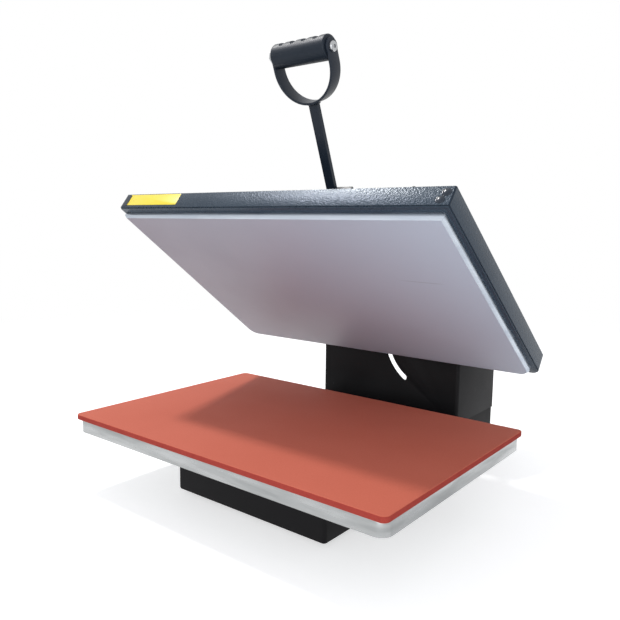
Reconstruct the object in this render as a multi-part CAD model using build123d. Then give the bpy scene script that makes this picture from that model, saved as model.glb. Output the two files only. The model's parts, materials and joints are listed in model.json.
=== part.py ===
from build123d import *
import math
import os

# Clamshell heat press with a 600 x 400 mm work pad, shown open.
# Millimetres, X to the right, Y to the back, Z up.
# Every piece is laid out with the pad's middle at X = Y = 0 and the floor at Z = 0.
# The finished pieces are then moved back so that the origin is the middle of the footprint.
# The swinging half is drawn closed, flat on the pad, and turned up about the hinge.

# Overall heights and plan sizes
pad_length = 600.0
pad_depth = 400.0
pad_thickness = 8.5
pad_corner = 10.0
pad_top = 124.0
closed_gap = 0.3
foot_height = 8.0
foot_radius = 19.0
foot_inset = 34.0
foot_recess = 3.0
foot_recess_radius = 7.0
foot_taper = 2.0
foot_screw_length = 11.0

# How far a cutter or a joined shape runs past a face
past = 1.0

# Lower platen
lower_side_inset = 2.5
lower_end_inset = 3.4
lower_thickness = 20.5
lower_skin = 9.0
lower_corner = 17.0
lower_rim = 16.0
lower_rib = 10.0
lower_bays_across = 8
lower_bays_deep = 5
lower_boss_radius = 10.0
support_height = 12.0
support_width = 40.0
support_length = 260.0
support_spacing = 170.0
support_shift = 40.0
support_bolt_x = 91.0

# Sheet steel base and column
base_width = 300.0
base_front = -110.6
column_front = 279.0
column_back = 435.1
sheet = 4.0
bottom_sheet = 2.0
bottom_inset = 1.0
fold_radius = 6.0
column_front_top = 200.0
column_side_top = 238.0
column_slope_run = 46.0
flange_width = 24.0
column_bolt_inset = 30.4
flange_front = 16.0
rear_tie_height = 30.0
rear_tie_drop = 4.0
slot_centre_x = 93.0
slot_centre_z = 231.0
slot_radius = 95.0
slot_width = 10.5
slot_start_angle = 158.0
slot_end_angle = 235.3

# Hinge, open angle and the two hooked pivot plates
hinge_y = 333.5
hinge_z = 136.2
open_angle = 37.2
shaft_radius = 10.0
fit_clearance = 0.05
side_clearance = 0.3
pivot_inner = 48.0
pivot_thickness = 6.0
outer_plate_gap = 4.0
outer_bolt_inset = 15.0
pivot_bolt_reach = 15.0
hub_radius = 26.0
ring_thickness = 1.5
ring_width = 4.0
shaft_overhang = 3.0
anchor_y = 376.0
anchor_z = 206.0
anchor_radius = 7.0
anchor_lug = 14.0
stop_sleeve_radius = 9.0
stop_bolt_radius = 5.0
stop_direction = 40.0
stop_overhang = 4.0
stop_head_height = 4.0
stop_head_radius = 8.0

# Swing arms
arm_inner = 60.0
arm_thickness = 8.0
arm_band = 44.0
arm_low = 78.0
arm_depth = 40.0
elbow_y = 286.0
elbow_radius = 70.0
elbow_inner_radius = 26.0
arm_front_y = -72.0
bush_wall = 3.0
bush_flange = 2.0
bush_flange_width = 3.0
rear_tie_y = 228.0
rear_tie_w = 109.0
rear_tie_radius = 8.0

# Start switch on the right arm
switch_near = 0.0
switch_far = 32.0
switch_ahead = 14.0
switch_depth = 8.0
switch_height = 7.0
switch_rise = 24.5
bracket_sheet = 2.0
bracket_tab = 8.0
bracket_tab_drop = 1.5
bracket_near = 12.0
bracket_rise = 18.5

# Torsion springs
wire_radius = 3.0
coil_radius = 18.0
least_pitch = 6.5
coil_arm_gap = 6.5
coil_plate_gap = 3.5
spring_leg = 46.0
peg_radius = 4.0
peg_reach = 38.0
peg_lug = 8.0
outer_plate_back = 36.0

# Lever, crank and handle, placed in the arm's own frame
fulcrum_y = -52.0
fulcrum_w = 140.0
lever_rise = 31.5
fulcrum_radius = 7.0
fulcrum_head = 11.0
fulcrum_head_height = 8.5
fulcrum_nut_height = 10.0
crank_hub_radius = 15.0
crank_inner = 20.0
crank_thickness = 6.0
horn_radius = 16.0
tail_back = -17.0
tail_drop = 70.0
tail_slot_angle = 67.3
tail_slot_low = 4.2
tail_slot_high = 6.7
tail_slack = 1.5
tail_wall = 6.0
bar_width = 17.0
bar_depth = 8.0
bar_edge = 0.8
grip_distance = 240.0
yoke_radius = 53.2
yoke_strap = 3.5
yoke_strap_width = 24.0
yoke_ear_radius = 13.2
yoke_straight = 21.5
grip_radius = 18.5
grip_bore = 7.2
grip_tube_radius = 7.0
grip_bolt_radius = 4.5
grip_edge = 2.5
grip_crests = 5
grip_pitch = 22.0
grip_scallop_depth = 3.2
grip_scallop_radius = 8.0
bolt_tip = 1.0
button_head_radius = 8.0
button_head_height = 4.5
button_head_round = 3.1
socket_radius = 2.5
grip_nut_radius = 8.0
grip_nut_height = 6.5

# Links
link_inner = 28.0
link_thickness = 6.0
link_half_height = 7.0
link_eye = 12.0
link_pin_radius = 6.0
link_pin_end = 1.0
link_pin_head = 3.0
link_notch_side = 3.0
link_notch_depth = 4.0

# Pressure screw, bridge and knob
bridge_low = 102.0
bridge_thickness = 16.0
bridge_front = -12.0
bridge_back = 40.0
bridge_hub_radius = 19.0
screw_radius = 8.0
nut_radius = 12.0
nut_flange = 16.0
nut_flange_height = 4.0
knob_low = 124.0
knob_height = 34.0
knob_radius = 28.0
knob_lobes = 8
knob_flute = 5.0
knob_roof = 8.0
knob_chamfer = 1.5
guide_x = 47.0
guide_y = 14.0
guide_radius = 5.0
guide_length = 92.0
guide_head_radius = 10.0
guide_head_height = 4.0
swivel_radius = 17.0
swivel_height = 14.0
swivel_collar = 11.0
swivel_collar_height = 5.0
swivel_floor = 4.0
swivel_cap_height = 4.0

# Upper platen
heater_shift = 4.5
heater_edge = 10.0
heater_bevel = 3.5
heater_rear_corner = 20.0
block_side_inset = 20.0
block_end_inset = 24.0
block_height = 8.0
block_corner = 10.0
element_radius = 4.0
element_gap = 0.2
element_end_inset = 55.0
element_side_inset = 36.0
element_passes = 6
cover_side_overhang = 8.5
cover_end_overhang = 10.0
cover_shift = 3.9
cover_low = 12.0
cover_top = 39.4
cover_sheet = 1.5
cover_inner_corner = 0.5
cable_hole_radius = 10.0
cover_rear_corner = 14.0
cover_rear_chamfer = 5.0
shelf_sheet = 1.2
shelf_overlap = 14.0
shelf_gap = 0.5
post_radius = 9.0
post_inset = 160.0
post_row = 2
post_thread = 6.0
carrier_side = 20.0
carrier_end = 13.0
carrier_corner = 8.0
carrier_thickness = 6.0
blanket_thickness = 7.0
sensor_inset = 12.0
sensor_depth = 40.0
sensor_end = 10.0
sensor_radius = 2.0
strip_thickness = 1.5
strip_width = 16.0
strip_inset = 45.0
strip_overhang = 16.0

# Control box on the cover
box_inset = 58.5
box_setback = 94.0
box_width = 120.0
box_depth = 100.0
box_height = 66.0
box_sheet = 2.0
box_corner = 4.0
panel_thickness = 2.5
button_radius = 5.0
button_travel = 1.5
button_length = 9.0
button_show = 3.0
button_round = 1.0
button_pitch = 20.0
button_clearance = 0.35
button_rise = 18.0
window_width = 62.0
window_height = 20.0
window_rise = 44.0
window_recess = 0.4
window_lip = 2.0
window_lip_thickness = 3.0
board_inset = 8.0
board_thickness = 1.6
contact_radius = 3.0
contact_depth = 3.4
relay_inset = 12.0
relay_length = 45.0
relay_gap = 12.0
relay_depth = 42.0
relay_height = 23.0
rocker_width = 12.0
rocker_height = 18.0
rocker_rise = 20.0
rocker_setback = 18.0
rocker_body_depth = 16.0
rocker_flange = 2.0
rocker_flange_thickness = 1.5
rocker_pocket = 5.0
rocker_end_wall = 2.0
rocker_side_wall = 1.5
rocker_throw = 12.0
key_end_gap = 1.2
key_depth = 1.5
key_edge = 1.0
key_ridge = 2.2
key_pin_radius = 1.0
key_pin_reach = 0.8
inlet_width = 27.0
inlet_height = 20.0
inlet_rise = 22.0
inlet_depth = 18.0
inlet_pocket = 14.0
inlet_wall = 2.0
inlet_ear = 10.0
inlet_rim = 2.0
inlet_flange_thickness = 2.5
inlet_pin_pitch = 7.0
inlet_pin_drop = 2.0
inlet_earth_rise = 3.0
inlet_pin_half_width = 1.0
inlet_pin_half_height = 2.0
fuse_inset = 20.0
fuse_radius = 6.0
fuse_depth = 14.0
fuse_cap_radius = 8.0
fuse_cap_height = 5.0

# Fasteners
m6_radius = 3.0
m6_head = 5.0
m6_head_height = 4.0
pan_height = 2.4
m8_radius = 4.0
m8_head = 6.5
m8_head_height = 5.3
bolt_end = 6.0
thread_depth = 12.0

# Values worked out from the ones above
face = pad_top + closed_gap
base_low = foot_height
tray_low = base_low + bottom_sheet
pad_low = pad_top - pad_thickness
lower_low = pad_low - lower_thickness
tray_top = lower_low - support_height
middle_y = (column_back - pad_depth / 2) / 2
half_base = base_width / 2
lower_length = pad_length - 2 * lower_side_inset
lower_depth = pad_depth - 2 * lower_end_inset
heater_length = pad_length
heater_depth = pad_depth
block_length = heater_length - 2 * block_side_inset
block_depth = heater_depth - 2 * block_end_inset
cover_length = heater_length + 2 * cover_side_overhang
cover_depth = heater_depth + 2 * cover_end_overhang
arm_outer = arm_inner + arm_thickness
pivot_outer = pivot_inner + pivot_thickness
outer_plate_outer = half_base - sheet - flange_width - outer_plate_gap
outer_plate_inner = outer_plate_outer - pivot_thickness
coil_start = arm_outer + coil_arm_gap
coil_room = outer_plate_inner - coil_plate_gap - coil_start
coil_turns = int(coil_room / least_pitch)
coil_pitch = coil_room / coil_turns
crank_outer = crank_inner + crank_thickness
link_outer = link_inner + link_thickness
heater_top = heater_edge + block_height
post_top = cover_top - cover_sheet - carrier_thickness
element_half_run = block_length / 2 - element_end_inset
element_half_span = block_depth / 2 - element_side_inset
element_pitch = 2 * element_half_span / (element_passes - 1)
post_x = block_length / 2 - post_inset
post_y = post_row * element_pitch
bridge_top = bridge_low + bridge_thickness
switch_front = fulcrum_y - switch_ahead
switch_top = fulcrum_w + switch_rise
bracket_top = fulcrum_w + bracket_rise
hinge_axis = Axis((0, hinge_y, hinge_z), (1, 0, 0))
lever_cos = math.cos(math.radians(lever_rise))
lever_sin = math.sin(math.radians(lever_rise))
sides = (-1, 1)

os.makedirs("parts", exist_ok=True)


def save(name, *solids):
    """Write one node, moved so that the origin is the middle of the footprint."""
    bodies = [s for item in solids for s in item.solids()]
    shape = bodies[0] if len(bodies) == 1 else Compound(bodies)
    export_step(Pos(0, -middle_y, 0) * shape, "parts/" + name + ".step")


def swing(shape):
    """Turn a piece of the swinging half from flat on the pad up to the open stop."""
    return shape.rotate(hinge_axis, -open_angle)


def block(x0, x1, y0, y1, z0, z1):
    """A box between two corners."""
    size = Box(abs(x1 - x0), y1 - y0, z1 - z0)
    return Pos((x0 + x1) / 2, (y0 + y1) / 2, (z0 + z1) / 2) * size


def rod_x(x0, x1, y, z, radius):
    """A round bar along X."""
    return Pos((x0 + x1) / 2, y, z) * Rot(0, 90, 0) * Cylinder(radius, abs(x1 - x0))


def rod_y(x, y0, y1, z, radius):
    """A round bar along Y."""
    return Pos(x, (y0 + y1) / 2, z) * Rot(90, 0, 0) * Cylinder(radius, y1 - y0)


def rod_z(x, y, z0, z1, radius):
    """A round bar along Z."""
    return Pos(x, y, (z0 + z1) / 2) * Cylinder(radius, z1 - z0)


def tube_x(x0, x1, y, z, outer, inner):
    """A tube along X."""
    return rod_x(x0, x1, y, z, outer) - rod_x(x0, x1, y, z, inner)


def side_plate(outline, x0, x1):
    """A flat plate whose outline lies in Y and Z, from x0 to x1."""
    low = min(x0, x1)
    return Pos(low, 0, 0) * extrude(Plane.YZ * outline, abs(x1 - x0))


def disc(y, z, radius):
    """A round outline at a point in Y and Z."""
    return Pos(y, z) * Circle(radius)


def capsule(y0, z0, y1, z1, radius):
    """A bar outline with round ends between two points in Y and Z."""
    run = math.hypot(y1 - y0, z1 - z0)
    turn = math.degrees(math.atan2(z1 - z0, y1 - y0))
    bar = SlotCenterToCenter(run, 2 * radius)
    return Pos((y0 + y1) / 2, (z0 + z1) / 2) * Rot(0, 0, turn) * bar


def slab(length, depth, z0, z1, corner, y=0.0):
    """A flat slab with rounded corners in plan."""
    return Pos(0, y, z0) * extrude(RectangleRounded(length, depth, corner), z1 - z0)


def hex_head(radius, height):
    """A hexagon head standing on Z = 0, sized by the radius of its inner circle."""
    return extrude(RegularPolygon(radius, 6, major_radius=False), height)


def bolt_down(x, y, top, length, radius, head, head_height):
    """A hexagon bolt whose head sits on the plane Z = top, with its shank down."""
    shank = rod_z(x, y, top - length, top + head_height, radius)
    return shank + Pos(x, y, top) * hex_head(head, head_height)


# Rubber feet and their screws, at the corners of the base
foot_points = [
    (x, y)
    for x in (-half_base + foot_inset, half_base - foot_inset)
    for y in (base_front + foot_inset, column_back - foot_inset)
]


def foot(x, y):
    """One foot, tapered, with a recess for its screw."""
    body = Pos(x, y, foot_height / 2) * Cone(foot_radius - foot_taper, foot_radius, foot_height)
    body -= rod_z(x, y, 0, foot_recess, foot_recess_radius)
    return body - rod_z(x, y, 0, foot_height, m6_radius + fit_clearance)


def foot_screw(x, y):
    """A pan-head screw up through a foot into the base."""
    head = rod_z(x, y, foot_recess - pan_height, foot_recess, m6_head)
    return head + rod_z(x, y, foot_recess - pan_height, foot_recess + foot_screw_length, m6_radius)


save("rubber_feet", *[foot(x, y) for x, y in foot_points])
save("foot_screws", *[foot_screw(x, y) for x, y in foot_points])


# Base: a folded sheet tray closed below by a plate
def base_tray():
    depth = column_back - base_front
    centre_y = (column_back + base_front) / 2
    outer = Rectangle(base_width, depth)
    outer = fillet(outer.vertices(), fold_radius)
    inner = Rectangle(base_width - 2 * sheet, depth - 2 * sheet)
    inner = fillet(inner.vertices(), fold_radius - sheet)
    tray = Pos(0, centre_y, tray_low) * extrude(outer, tray_top - tray_low)
    tray -= Pos(0, centre_y, tray_low) * extrude(inner, tray_top - sheet - tray_low)
    for x, y in column_bolt_points() + pivot_bolt_points() + support_bolt_points():
        tray -= rod_z(x, y, tray_top - sheet, tray_top, m8_radius + side_clearance)
    return tray


def column_bolt_points():
    x = half_base - sheet - flange_width / 2
    rows = (column_front + column_bolt_inset, column_back - flange_width)
    return [(sign * x, y) for sign in sides for y in rows]


def pivot_bolt_points():
    inside = pivot_inner - flange_width / 2
    outside = outer_plate_inner - outer_bolt_inset
    rows = (hinge_y - pivot_bolt_reach, hinge_y + pivot_bolt_reach)
    return [(sign * x, y) for sign in sides for x in (inside, outside) for y in rows]


def support_bolt_points():
    rows = (support_shift - support_spacing / 2, support_shift + support_spacing / 2)
    return [(sign * support_bolt_x, y) for sign in sides for y in rows]


def bottom_plate():
    depth = column_back - base_front - 2 * bottom_inset
    width = base_width - 2 * bottom_inset
    centre_y = (column_back + base_front) / 2
    plate = slab(width, depth, base_low, tray_low, fold_radius - bottom_inset, centre_y)
    for x, y in foot_points:
        plate -= rod_z(x, y, base_low, tray_low, m6_radius + fit_clearance)
    return plate


save("base_tray", base_tray())
save("base_bottom_plate", bottom_plate())


# Column: a folded sheet shell, open to the back, with an arc slot in its front
# and two notches in its top edge that let the closed links through
def column_shell():
    front_y = column_front
    depth = column_back - front_y
    plan = Rectangle(base_width, depth) - Pos(0, sheet) * Rectangle(base_width - 2 * sheet, depth)
    shell = Pos(0, front_y + depth / 2, tray_top) * extrude(plan, column_side_top - tray_top)
    shell = fillet(shell.edges().filter_by(Axis.Z).group_by(Axis.Y)[0], fold_radius)
    lip = Rectangle(base_width - 2 * sheet, depth - sheet)
    lip -= Pos(0, flange_front) * Rectangle(base_width - 2 * sheet - 2 * flange_width, depth - sheet)
    shell += Pos(0, front_y + (depth + sheet) / 2, tray_top) * extrude(lip, sheet)
    for x, y in column_bolt_points():
        shell -= rod_z(x, y, tray_top, tray_top + sheet, m8_radius + side_clearance)
    slope = Polyline(
        (front_y - past, column_front_top),
        (front_y + fold_radius, column_front_top),
        (front_y + fold_radius + column_slope_run, column_side_top + past),
        (front_y - past, column_side_top + past),
        close=True,
    )
    shell -= side_plate(make_face(slope), -half_base - past, half_base + past)
    notch_width = link_thickness + 2 * link_notch_side
    for sign in sides:
        middle_x = sign * (link_inner + link_outer) / 2
        notch = Pos(middle_x, front_y + sheet / 2, column_front_top) * Box(
            notch_width, sheet + 2 * past, 2 * link_notch_depth)
        shell -= notch
    return shell - arc_slot()


def arc_slot():
    middle = (slot_start_angle + slot_end_angle) / 2

    def at(angle):
        turn = math.radians(angle)
        return (slot_centre_x + slot_radius * math.cos(turn), slot_centre_z + slot_radius * math.sin(turn))

    path = ThreePointArc(at(slot_start_angle), at(middle), at(slot_end_angle))
    outline = SlotArc(path, slot_width)
    front = Plane((0, column_front - past, 0), x_dir=(1, 0, 0), z_dir=(0, -1, 0))
    return extrude(front * outline, -(sheet + 2 * past))


def rear_tie():
    top = column_side_top - rear_tie_drop
    low = top - rear_tie_height
    width = half_base - sheet
    tie = block(-width, width, column_back - sheet, column_back, low, top)
    return tie + block(-width, width, column_back - flange_width, column_back, top - sheet, top)


save("column_shell", column_shell())
save("column_rear_tie", rear_tie())


def flange_bolts(points, seat):
    """Hexagon bolts down through a flange and the top of the base."""
    length = seat - tray_top + sheet + bolt_end
    return [bolt_down(x, y, seat, length, m8_radius, m8_head, m8_head_height) for x, y in points]


# Lower platen, its supports and the pad
def lower_platen():
    """A casting with a flat top, a plain rim and a grid of ribs below."""
    plate = slab(lower_length, lower_depth, lower_low, pad_low, lower_corner)
    pitch_x = (lower_length - 2 * lower_rim + lower_rib) / lower_bays_across
    pitch_y = (lower_depth - 2 * lower_rim + lower_rib) / lower_bays_deep
    for column in range(lower_bays_across):
        for row in range(lower_bays_deep):
            x = (column - (lower_bays_across - 1) / 2) * pitch_x
            y = (row - (lower_bays_deep - 1) / 2) * pitch_y
            plate -= block(x - (pitch_x - lower_rib) / 2, x + (pitch_x - lower_rib) / 2,
                           y - (pitch_y - lower_rib) / 2, y + (pitch_y - lower_rib) / 2,
                           lower_low, pad_low - lower_skin)
    for x, y in support_bolt_points():
        plate += rod_z(x, y, lower_low, pad_low - lower_skin, lower_boss_radius)
        plate -= rod_z(x, y, lower_low, lower_low + thread_depth, m8_radius + fit_clearance)
    return plate


def support_rail(y):
    rail = block(-support_length / 2, support_length / 2, y - support_width / 2, y + support_width / 2,
                 tray_top, lower_low)
    for sign in sides:
        rail -= rod_z(sign * support_bolt_x, y, tray_top, lower_low, m8_radius + side_clearance)
    return rail


def support_bolt(x, y):
    """A bolt from inside the tray up through a rail into the lower platen."""
    seat = tray_top - sheet
    head = Pos(x, y, seat - m8_head_height) * hex_head(m8_head, m8_head_height)
    return head + rod_z(x, y, seat - m8_head_height, lower_low + thread_depth, m8_radius)


save("work_pad", slab(pad_length, pad_depth, pad_low, pad_top, pad_corner))
save("lower_platen", lower_platen())
save("platen_support_rails", *[support_rail(support_shift + sign * support_spacing / 2) for sign in sides])


# Pivot plates inside the column
def stop_point():
    """Middle of the open stop, clear of the arm's elbow by the side clearance."""
    centre = Vector(0, elbow_y, face + arm_low + arm_depth - elbow_radius)
    turned = swing(Pos(*centre) * Sphere(1)).center()
    reach = elbow_radius + stop_sleeve_radius + side_clearance
    turn = math.radians(stop_direction - open_angle)
    return turned.Y + reach * math.cos(turn), turned.Z + reach * math.sin(turn)


stop_y, stop_z = stop_point()
peg_y = coil_radius + wire_radius + peg_radius + side_clearance


def pivot_foot(x0, x1):
    """The folded foot of a pivot plate."""
    return block(x0, x1, hinge_y - hub_radius, hinge_y + hub_radius, tray_top, tray_top + pivot_thickness)


def inner_pivot_plate(sign):
    neck = make_face(Polyline(
        (hinge_y - hub_radius, tray_top),
        (hinge_y + hub_radius, tray_top),
        (hinge_y + hub_radius, anchor_z - anchor_lug),
        (anchor_y, anchor_z - anchor_lug),
        (anchor_y, anchor_z + anchor_lug),
        (hinge_y - hub_radius, anchor_z),
        close=True,
    ))
    neck += capsule(anchor_y, anchor_z, stop_y, stop_z, anchor_lug)
    neck -= disc(hinge_y, hinge_z, shaft_radius + fit_clearance)
    neck -= disc(anchor_y, anchor_z, anchor_radius + fit_clearance)
    neck -= disc(stop_y, stop_z, stop_bolt_radius + fit_clearance)
    plate = side_plate(neck, sign * pivot_inner, sign * pivot_outer)
    plate += pivot_foot(sign * (pivot_inner - flange_width), sign * pivot_outer)
    for x, y in pivot_bolt_points():
        if abs(x) < pivot_inner and x * sign > 0:
            plate -= rod_z(x, y, tray_top, tray_top + pivot_thickness, m8_radius + side_clearance)
    return plate


def outer_pivot_plate(sign):
    neck = make_face(Polyline(
        (hinge_y - hub_radius, tray_top),
        (hinge_y + outer_plate_back, tray_top),
        (hinge_y + outer_plate_back, hinge_z - hub_radius),
        (hinge_y + hub_radius, hinge_z),
        (hinge_y - hub_radius, hinge_z),
        close=True,
    ))
    neck += disc(hinge_y, hinge_z, hub_radius)
    neck -= disc(hinge_y, hinge_z, shaft_radius + fit_clearance)
    neck -= disc(hinge_y + peg_y, hinge_z - peg_reach, peg_radius + fit_clearance)
    plate = side_plate(neck, sign * outer_plate_inner, sign * outer_plate_outer)
    plate += pivot_foot(sign * (outer_plate_inner - flange_width), sign * outer_plate_outer)
    for x, y in pivot_bolt_points():
        if abs(x) > pivot_outer and x * sign > 0:
            plate -= rod_z(x, y, tray_top, tray_top + pivot_thickness, m8_radius + side_clearance)
    return plate


save("inner_pivot_plates", *[inner_pivot_plate(sign) for sign in sides])
save("outer_pivot_plates", *[outer_pivot_plate(sign) for sign in sides])
save(
    "frame_bolts",
    *flange_bolts(column_bolt_points(), tray_top + sheet),
    *flange_bolts(pivot_bolt_points(), tray_top + pivot_thickness),
    *[support_bolt(x, y) for x, y in support_bolt_points()],
)


def hinge_shaft(sign):
    """A stub shaft held by the inner and outer pivot plates."""
    near = sign * (pivot_inner - shaft_overhang)
    far = sign * (outer_plate_outer + shaft_overhang)
    return rod_x(near, far, hinge_y, hinge_z, shaft_radius)


def anchor_shaft():
    """The shaft that both links turn on, across the tops of the inner pivot plates."""
    half = pivot_outer + shaft_overhang
    return rod_x(-half, half, anchor_y, anchor_z, anchor_radius)


def ring(x, y, z, radius):
    """A retaining ring on a shaft along X."""
    half = ring_thickness / 2
    return tube_x(x - half, x + half, y, z, radius + ring_width, radius + fit_clearance)


def anchor_spacer(sign):
    """A spacer tube that keeps a link in its place on the anchor shaft."""
    near = sign * (link_outer + side_clearance)
    far = sign * (pivot_inner - side_clearance)
    return tube_x(near, far, anchor_y, anchor_z, anchor_radius + ring_width, anchor_radius + fit_clearance)


def stop_bolt(sign):
    """The bolt of an open stop, through the pivot plate."""
    near = sign * (pivot_inner - bolt_end)
    seat = sign * (arm_outer + stop_overhang)
    end = sign * (arm_outer + stop_overhang + stop_head_height)
    shank = rod_x(near, end, stop_y, stop_z, stop_bolt_radius)
    return shank + rod_x(seat, end, stop_y, stop_z, stop_head_radius)


def stop_sleeve(sign):
    """The sleeve round a stop bolt that the arm comes to rest against."""
    near = sign * (pivot_outer + side_clearance)
    far = sign * (arm_outer + stop_overhang - side_clearance)
    return tube_x(near, far, stop_y, stop_z, stop_sleeve_radius, stop_bolt_radius + fit_clearance)


def spring_pin(sign):
    """The pin in an outer pivot plate that holds a spring's fixed leg."""
    near = sign * (outer_plate_outer + shaft_overhang)
    far = sign * (coil_start + coil_pitch * (coil_turns - 1))
    return rod_x(near, far, hinge_y + peg_y, hinge_z - peg_reach, peg_radius)


ring_offset = ring_thickness / 2 + side_clearance
save("pivot_shafts", *[hinge_shaft(sign) for sign in sides], anchor_shaft())
save(
    "retaining_rings",
    *[ring(sign * (pivot_inner - ring_offset), hinge_y, hinge_z, shaft_radius) for sign in sides],
    *[ring(sign * (outer_plate_outer + ring_offset), hinge_y, hinge_z, shaft_radius) for sign in sides],
    *[ring(sign * (pivot_outer + ring_offset), anchor_y, anchor_z, anchor_radius) for sign in sides],
)
save("shaft_spacers", *[anchor_spacer(sign) for sign in sides], *[stop_sleeve(sign) for sign in sides])
save("stop_pins", *[stop_bolt(sign) for sign in sides], *[spring_pin(sign) for sign in sides])


# Swing arms with their bushes and ties
def round_corner(outline, y, z, radius):
    """Round the one corner of an outline that lies at a point."""
    corner = outline.vertices().sort_by(lambda v: math.hypot(v.X - y, v.Y - z))[0]
    return fillet(corner, radius)


def arm_outline():
    top = face + arm_low + arm_depth
    low = face + arm_low
    back = elbow_y + elbow_radius
    front = back - arm_band
    outline = make_face(Polyline(
        (front, hinge_z),
        (back, hinge_z),
        (back, top),
        (arm_front_y, top),
        (arm_front_y, low),
        (front, low),
        close=True,
    ))
    outline = round_corner(outline, back, top, elbow_radius)
    outline = round_corner(outline, front, low, elbow_inner_radius)
    outline = round_corner(outline, arm_front_y, low, horn_radius)
    outline += disc(hinge_y, hinge_z, hub_radius)
    outline += capsule(fulcrum_y, face + fulcrum_w, fulcrum_y, top - horn_radius, horn_radius)
    outline += disc(hinge_y + peg_y, hinge_z + peg_reach, peg_lug)
    outline -= disc(hinge_y, hinge_z, shaft_radius + bush_wall)
    outline -= disc(fulcrum_y, face + fulcrum_w, fulcrum_radius + fit_clearance)
    return outline


def arm(sign):
    plate = side_plate(arm_outline(), sign * arm_inner, sign * arm_outer)
    peg_z = hinge_z + peg_reach
    peg = rod_x(sign * arm_outer, sign * (coil_start + wire_radius), hinge_y + peg_y, peg_z, peg_radius)
    return plate + peg


def arm_bush(sign):
    """A flanged bush in the arm's hub; the flange is on the inner side."""
    flange_x = arm_inner - bush_flange
    wall = rod_x(sign * flange_x, sign * arm_outer, hinge_y, hinge_z, shaft_radius + bush_wall)
    wall += rod_x(sign * flange_x, sign * arm_inner, hinge_y, hinge_z,
                  shaft_radius + bush_wall + bush_flange_width)
    return wall - rod_x(sign * flange_x, sign * arm_outer, hinge_y, hinge_z, shaft_radius + fit_clearance)


def arm_bridge():
    low = face + bridge_low
    top = face + bridge_top
    bridge = block(-arm_inner, arm_inner, bridge_front, bridge_back, low, top)
    bridge += rod_z(0, 0, low, top, bridge_hub_radius)
    bridge -= rod_z(0, 0, low, top, nut_radius)
    for sign in sides:
        bridge -= rod_z(sign * guide_x, guide_y, low, top, guide_radius + bush_wall)
    return bridge


def start_switch():
    """The small switch that starts the timer when the lever comes down, on a bracket from the right arm."""
    top = face + switch_top
    switch_back = switch_front + switch_depth
    body = block(switch_near, switch_far, switch_front, switch_back, top - switch_height, top)
    high = face + bracket_top
    low = high - switch_height
    bracket = block(bracket_near, arm_inner, switch_front, switch_front + bracket_sheet, low, high)
    tab_back = switch_front + bracket_tab
    return body + bracket + block(arm_inner - bracket_sheet, arm_inner, switch_front, tab_back,
                                  low - bracket_tab_drop, high)


save("start_switch", swing(start_switch()))
save("swing_arms", *[swing(arm(sign)) for sign in sides])
save("arm_bridge", swing(arm_bridge()))
save("arm_rear_tie", swing(rod_x(-arm_inner, arm_inner, rear_tie_y, face + rear_tie_w, rear_tie_radius)))


def pressure_nut():
    low = face + bridge_low - nut_flange_height
    top = face + bridge_top
    nut = rod_z(0, 0, low, top, nut_radius)
    nut += rod_z(0, 0, low, face + bridge_low, nut_flange)
    return nut - rod_z(0, 0, low, top, screw_radius + fit_clearance)


def guide_bush(sign):
    x = sign * guide_x
    low = face + bridge_low
    top = face + bridge_top
    bush = rod_z(x, guide_y, low, top, guide_radius + bush_wall)
    bush += rod_z(x, guide_y, top, top + bush_flange, guide_radius + bush_wall + bush_flange_width)
    return bush - rod_z(x, guide_y, low, top + bush_flange, guide_radius + fit_clearance)


save("pressure_nut", swing(pressure_nut()))
save("arm_bushes", *[swing(arm_bush(sign)) for sign in sides], *[swing(guide_bush(sign)) for sign in sides])


# Torsion springs: round wire wound about the hinge, with two straight legs
def spring_point(angle, x):
    turn = math.radians(angle)
    return Vector(x, hinge_y + coil_radius * math.cos(turn), hinge_z + coil_radius * math.sin(turn))


def spring_heading(angle, slope):
    turn = math.radians(angle)
    return Vector(slope, -math.sin(turn), math.cos(turn)).normalized()


def biarc(start, start_heading, end, end_heading):
    """Two arcs that leave one point along a heading and reach the next along another."""
    chord = end - start
    both = start_heading + end_heading
    spread = 2 * (1 - start_heading.dot(end_heading))
    along = chord.dot(both)
    reach = (math.sqrt(along * along + spread * chord.dot(chord)) - along) / spread
    joint = (start + end + (start_heading - end_heading) * reach) * 0.5
    first = TangentArc(start, joint, tangent=start_heading)
    second = TangentArc(end, joint, tangent=end_heading * -1)
    return [first, second]


def spring_path(sign):
    """One spring's centre line: a straight leg, the turns on two arcs a quarter turn, a straight leg."""
    sweep_angle = 360 * coil_turns - open_angle
    steps = 4 * coil_turns
    start_x = sign * (coil_start + coil_pitch * coil_turns)
    advance = -sign * coil_pitch * coil_turns / sweep_angle
    slope = advance / math.radians(1) / coil_radius
    angles = [sweep_angle * step / steps for step in range(steps + 1)]
    points = [spring_point(a, start_x + advance * a) for a in angles]
    headings = [spring_heading(a, slope if 0 < a < sweep_angle else 0) for a in angles]
    pieces = [Line(points[0] - headings[0] * spring_leg, points[0])]
    for step in range(steps):
        pieces += biarc(points[step], headings[step], points[step + 1], headings[step + 1])
    pieces.append(Line(points[-1], points[-1] + headings[-1] * spring_leg))
    return Wire([edge for piece in pieces for edge in piece.edges()])


def torsion_spring(sign):
    path = spring_path(sign)
    section = Plane(path @ 0, z_dir=path % 0) * Circle(wire_radius)
    return sweep(section, path=path)


def least_wire_gap(path):
    """The least clear gap between stretches of the wire that lie a half turn or more apart."""
    count = int(path.length / wire_radius)
    points = [path @ (index / count) for index in range(count + 1)]
    apart = int(math.pi * coil_radius / wire_radius)
    gaps = []
    for first in range(count + 1 - apart):
        for second in range(first + apart, count + 1):
            gaps.append((points[first] - points[second]).length)
    return min(gaps) - 2 * wire_radius


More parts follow.
